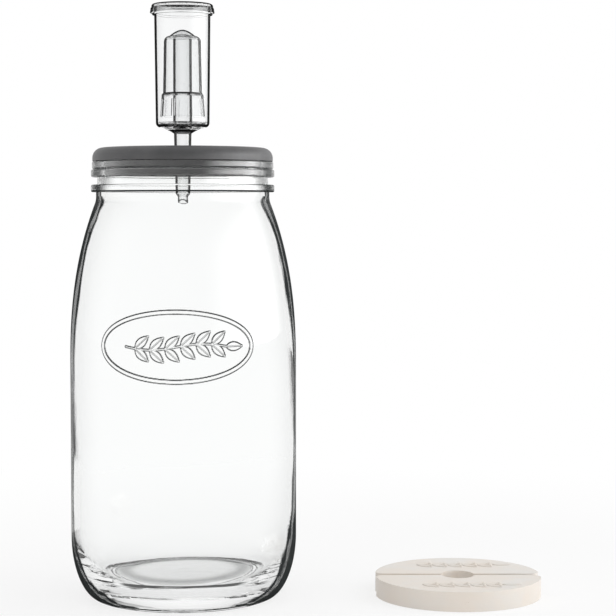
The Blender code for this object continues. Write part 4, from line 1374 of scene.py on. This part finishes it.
class JAR_OT_airlock(bpy.types.Operator):
    """Builds the airlock's cup and stem, its bubbler and its cap"""

    bl_idname = "jar.airlock"
    bl_label = "Airlock"

    def execute(self, context):
        settings = context.scene.airlock_settings
        colours = (settings.clear_colour, settings.painted_edge_shade)
        plastic = clear_material("clear_plastic", *colours, PLASTIC_LOOK)
        bm = turned(airlock_body_outline(), True, AIRLOCK_SIDES)
        for vert in bm.verts:
            if vert.co.z < TIP_BOTTOM + TIP_LENGTH / 2:
                vert.co.z -= TIP_SLANT * vert.co.y / TIP_RADIUS
        body = placed("airlock_cup_and_stem", bm)
        body.data.materials.append(plastic)
        mark_edges(body, plastic_edge(CUP_WALL), body_marks)
        finish_piece(body, "airlock", "airlock_body")

        skirt_bottom, skirt_top, _, _ = bubbler_radii()
        slots = (
            settings.slot_count, (skirt_bottom + skirt_top - BUBBLER_WALL) / 2, settings.slot_width,
            BUBBLER_WALL + 2 * CUT_OVERRUN, 2 * settings.slot_height, (AXIS, 0.0, SKIRT_BOTTOM))
        source = placed("bubbler_cup", turned(bubbler_outline(), False, AIRLOCK_SIDES))
        bubbler = plain_mesh(source, cuts_round_axis("skirt_slots", False), CUT_INPUTS, slots, plastic)
        mark_edges(bubbler, plastic_edge(BUBBLER_WALL), bubbler_marks)
        finish_piece(bubbler, "bubbler", "airlock_bubbler")

        width, middle = settings.vent_width, (AXIS, 0.0, CAP_TOP - CAP_THICKNESS / 2)
        height = CAP_THICKNESS + 2 * CUT_OVERRUN
        vents = (settings.vent_count, VENT_CIRCLE_RADIUS, width, width, height, middle)
        source = placed("snap_cap", turned(cap_outline(), False, AIRLOCK_SIDES))
        cap = plain_mesh(source, cuts_round_axis("cap_vents", True), CUT_INPUTS, vents, plastic)
        mark_edges(cap, plastic_edge(CAP_SKIRT_WALL), cap_marks)
        finish_piece(cap, "cap", "airlock_cap")
        return {"FINISHED"}


class JAR_OT_weights(bpy.types.Operator):
    """Builds the two halves of the ceramic weight, each with a leaf sprig on its top face"""

    bl_idname = "jar.weights"
    bl_label = "Weights"

    def execute(self, context):
        settings = context.scene.weight_settings
        rise = settings.relief_height
        # The relief's glaze carries painted shade in the crease round its foot
        glaze, relief_glaze = (
            ceramic_material(name, settings.colour, settings.roughness, crease_shade)
            for name, crease_shade in (("satin_glaze", 0.0), ("relief_glaze", CREASE_SHADE))
        )
        sprig_tree = leaf_sprig("weight_sprig")
        for side, body, node in WEIGHT_HALVES:
            ends = [corner.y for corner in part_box(node)][::side]
            half = weight_half("weight_" + body, side, ends[0])
            half.data.materials.append(glaze)
            finish_piece(half, body, node)
            middle = ends[0] + (ends[1] - ends[0]) * SPRIG_PLACE
            centre = (WEIGHTS_X, middle, WEIGHT_THICKNESS - rise * SPRIG_SINK)
            sizes = (settings.leaf_pairs, SPRIG_PITCH, SPRIG_LEAF_TURN, rise, rise * BERRY_SIZE, centre)
            leaf = leaf_mesh("sprig_" + body, rise)
            sprig = plain_mesh(leaf, sprig_tree, SPRIG_INPUTS, sizes, relief_glaze)
            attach(sprig, body)
        return {"FINISHED"}


class JAR_OT_stage(bpy.types.Operator):
    """Sets up the floor, the light and the camera"""

    bl_idname = "jar.stage"
    bl_label = "Stage"

    def execute(self, context):
        scene = context.scene
        settings = scene.stage_settings
        self.make_floor(settings)
        self.make_world(scene, settings)
        self.make_key_light(settings.key_power)
        camera = linked(bpy.data.objects.new("camera", bpy.data.cameras.new("camera")))
        camera.data.sensor_width = SENSOR_WIDTH
        camera.data.lens = settings.focal_length
        camera.data.clip_start, camera.data.clip_end = CAMERA_CLIP
        camera.location = (CAMERA_SIDE_STEP, -settings.camera_distance, settings.camera_height)
        camera.rotation_euler = (math.pi / 2 - settings.camera_tilt, 0.0, 0.0)
        scene.camera = camera
        scene.view_settings.view_transform = "Standard"
        for kind in ("max_bounces", "glossy_bounces", "transmission_bounces", "transparent_max_bounces"):
            setattr(scene.cycles, kind, BOUNCES)
        return {"FINISHED"}

    def make_floor(self, settings):
        half = settings.floor_size / 2
        mesh = bpy.data.meshes.new("floor")
        mesh.from_pydata([(half * x, half * y, 0.0) for x, y in FLOOR_CORNERS], [], [(0, 1, 2, 3)])
        floor = linked(bpy.data.objects.new("floor", mesh))
        floor.location.z = -FLOOR_DROP
        material, tree, place = new_material("white_floor")
        distance = tree.node("ShaderNodeVectorMath", {"operation": "LENGTH"}, {0: place}, output=1)
        grain = tree.noise(place, FLOOR_GRAIN, 2.0)
        paper = tree.mixed(grain, solid(settings.floor_colour, 0.99), solid(settings.floor_colour))
        sockets = {"Base Color": paper, "Roughness": 0.9, "Specular IOR Level": 0.0}
        sheet = tree.node("ShaderNodeBsdfPrincipled", {}, sockets)
        white = tree.node("ShaderNodeEmission", Color=WHITE, Strength=1.0)
        glow = settings.floor_glow + (1 - settings.floor_glow) * distance.between(*FLOOR_FADE)
        mesh.materials.append(finished(material, tree, tree.blend(glow * tree.seen_ray(), sheet, white)))

    def make_world(self, scene, settings):
        world = scene.world = bpy.data.worlds.new("studio")
        tree = empty_tree(world)
        direction = tree.node("ShaderNodeTexCoord")
        rightwards, backwards, height = (tree.part(direction, axis) for axis in range(3))
        side = rightwards.between(*SIDE_LIGHT_REACH) * settings.side_light
        passed = tree.node("ShaderNodeLightPath", output="Is Transmission Ray")
        mirrored = tree.node("ShaderNodeLightPath", output="Is Glossy Ray") * (1 - passed)
        boxes = rightwards.between(*RIGHT_BOX_REACH) * settings.right_box
        boxes = boxes + (0 - rightwards).between(*LEFT_BOX_REACH) * settings.left_box
        boxes = boxes * ((1 - height.between(*BOX_TOP)) * (1 - backwards.between(*BOX_BACK)))
        front = 1 - settings.front_wall * (1 - rightwards.between(*FRONT_WALL_SIDE))
        front = (1 - backwards.between(*FRONT_WALL_REACH)) * front
        dim = height.between(settings.backdrop_top, settings.backdrop_top + CEILING_FADE) * passed
        seen = tree.mixed(dim, WHITE, solid((settings.ceiling,) * 3))
        backdrop = tree.node("ShaderNodeBackground", Color=seen, Strength=1 + mirrored * (boxes - front))
        room = tree.node("ShaderNodeBackground", Color=WHITE, Strength=settings.room_light * (1 + side))
        tree.node("ShaderNodeOutputWorld", Surface=tree.blend(tree.seen_ray(), room, backdrop))

    def make_key_light(self, power):
        data = bpy.data.lights.new("key_light", "AREA")
        data.shape = "DISK"
        data.size = KEY_LIGHT_SIZE
        data.energy = power
        light = linked(bpy.data.objects.new("key_light", data))
        light.visible_glossy = light.visible_transmission = False
        light.location = KEY_LIGHT_PLACE
        target = Vector((AXIS, 0.0, JAR_HEIGHT / 2))
        light.rotation_euler = (target - light.location).to_track_quat("-Z", "Y").to_euler()


def weight_half(name, side, straight_edge):
    """One half of the weight. Side is 1 for the back half and -1 for the front half."""
    bm = bmesh.new()
    corners = [(WEIGHTS_X + x, straight_edge + y * side, 0.0) for x, y in weight_outline()]
    face = bm.faces.new([bm.verts.new(corner) for corner in corners])
    made = bmesh.ops.extrude_face_region(bm, geom=[face])["geom"]
    verts = [item for item in made if isinstance(item, bmesh.types.BMVert)]
    bmesh.ops.translate(bm, verts=verts, vec=(0.0, 0.0, WEIGHT_THICKNESS))
    bmesh.ops.recalc_face_normals(bm, faces=bm.faces)
    edges = [edge for edge in bm.edges if abs(edge.verts[0].co.z - edge.verts[1].co.z) < MERGE_DISTANCE]
    settings = {"offset_type": "OFFSET", "segments": WEIGHT_STEPS["edge"], "profile": 0.5, "affect": "EDGES"}
    bmesh.ops.bevel(bm, geom=edges, offset=WEIGHT_EDGE_ROUNDING, clamp_overlap=True, **settings)
    flat = [face for face in bm.faces if len(face.verts) > PLAIN_FACE_CORNERS]
    bmesh.ops.inset_individual(bm, faces=flat, thickness=4 * EDGE_HOLD)
    return placed(name, bm)


def leaf_mesh(name, height):
    """One pointed leaf along +X, with a groove down its middle and its edge sunk below its foot."""
    bm = bmesh.new()
    rows = []
    for step in range(LEAF_ROWS + 1):
        share, inner = step / LEAF_ROWS, 0 < step < LEAF_ROWS
        row = []
        for place in range(LEAF_COLUMNS + 1):
            across = 2 * place / LEAF_COLUMNS - 1
            rise = math.sqrt(1 - across**2) - MIDRIB_DEPTH * max(0.0, 1 - abs(across) * 3)
            z = height * (rise * inner - LEAF_EDGE_SINK * (abs(across) == 1.0))
            y = leaf_width(share, SPRIG_LEAF_HALF_WIDTH) * across
            row.append(bm.verts.new((SPRIG_LEAF_LENGTH * share, y, z)))
        rows.append(row)
    for first, second in zip(rows, rows[1:]):
        for index in range(LEAF_COLUMNS):
            bm.faces.new((first[index], second[index], second[index + 1], first[index + 1]))
    bmesh.ops.remove_doubles(bm, verts=bm.verts, dist=MERGE_DISTANCE)
    bmesh.ops.holes_fill(bm, edges=[edge for edge in bm.edges if len(edge.link_faces) == 1], sides=0)
    bmesh.ops.recalc_face_normals(bm, faces=bm.faces)
    return placed(name, bm)


# Panel and registration

class JAR_PT_builder(bpy.types.Panel):
    """Lists the settings and the buttons that build the jar"""

    bl_idname = "JAR_PT_builder"
    bl_label = "Fermentation Jar"
    bl_space_type = "VIEW_3D"
    bl_region_type = "UI"
    bl_category = "Jar"

    def draw(self, context):
        for operator, group, _ in PIECES:
            box = self.layout.box()
            settings = getattr(context.scene, group)
            for name in settings.bl_rna.properties.keys():
                if name not in ("rna_type", "name"):
                    box.prop(settings, name)
            box.operator(operator.bl_idname)


PIECES = (
    (JAR_OT_stage, "stage_settings", StageSettings),
    (JAR_OT_glass, "jar_settings", JarSettings),
    (JAR_OT_lid, "lid_settings", LidSettings),
    (JAR_OT_airlock, "airlock_settings", AirlockSettings),
    (JAR_OT_weights, "weight_settings", WeightSettings),
)


def register():
    for operator, name, group in PIECES:
        bpy.utils.register_class(group)
        setattr(bpy.types.Scene, name, PointerProperty(type=group))
        bpy.utils.register_class(operator)
    bpy.utils.register_class(JAR_PT_builder)


def unregister():
    bpy.utils.unregister_class(JAR_PT_builder)
    for operator, name, group in reversed(PIECES):
        bpy.utils.unregister_class(operator)
        delattr(bpy.types.Scene, name)
        bpy.utils.unregister_class(group)


def main():
    register()
    bpy.ops.jar.stage()
    bpy.ops.jar.glass()
    bpy.ops.jar.lid()
    bpy.ops.jar.airlock()
    bpy.ops.jar.weights()


if __name__ == "__main__":
    main()
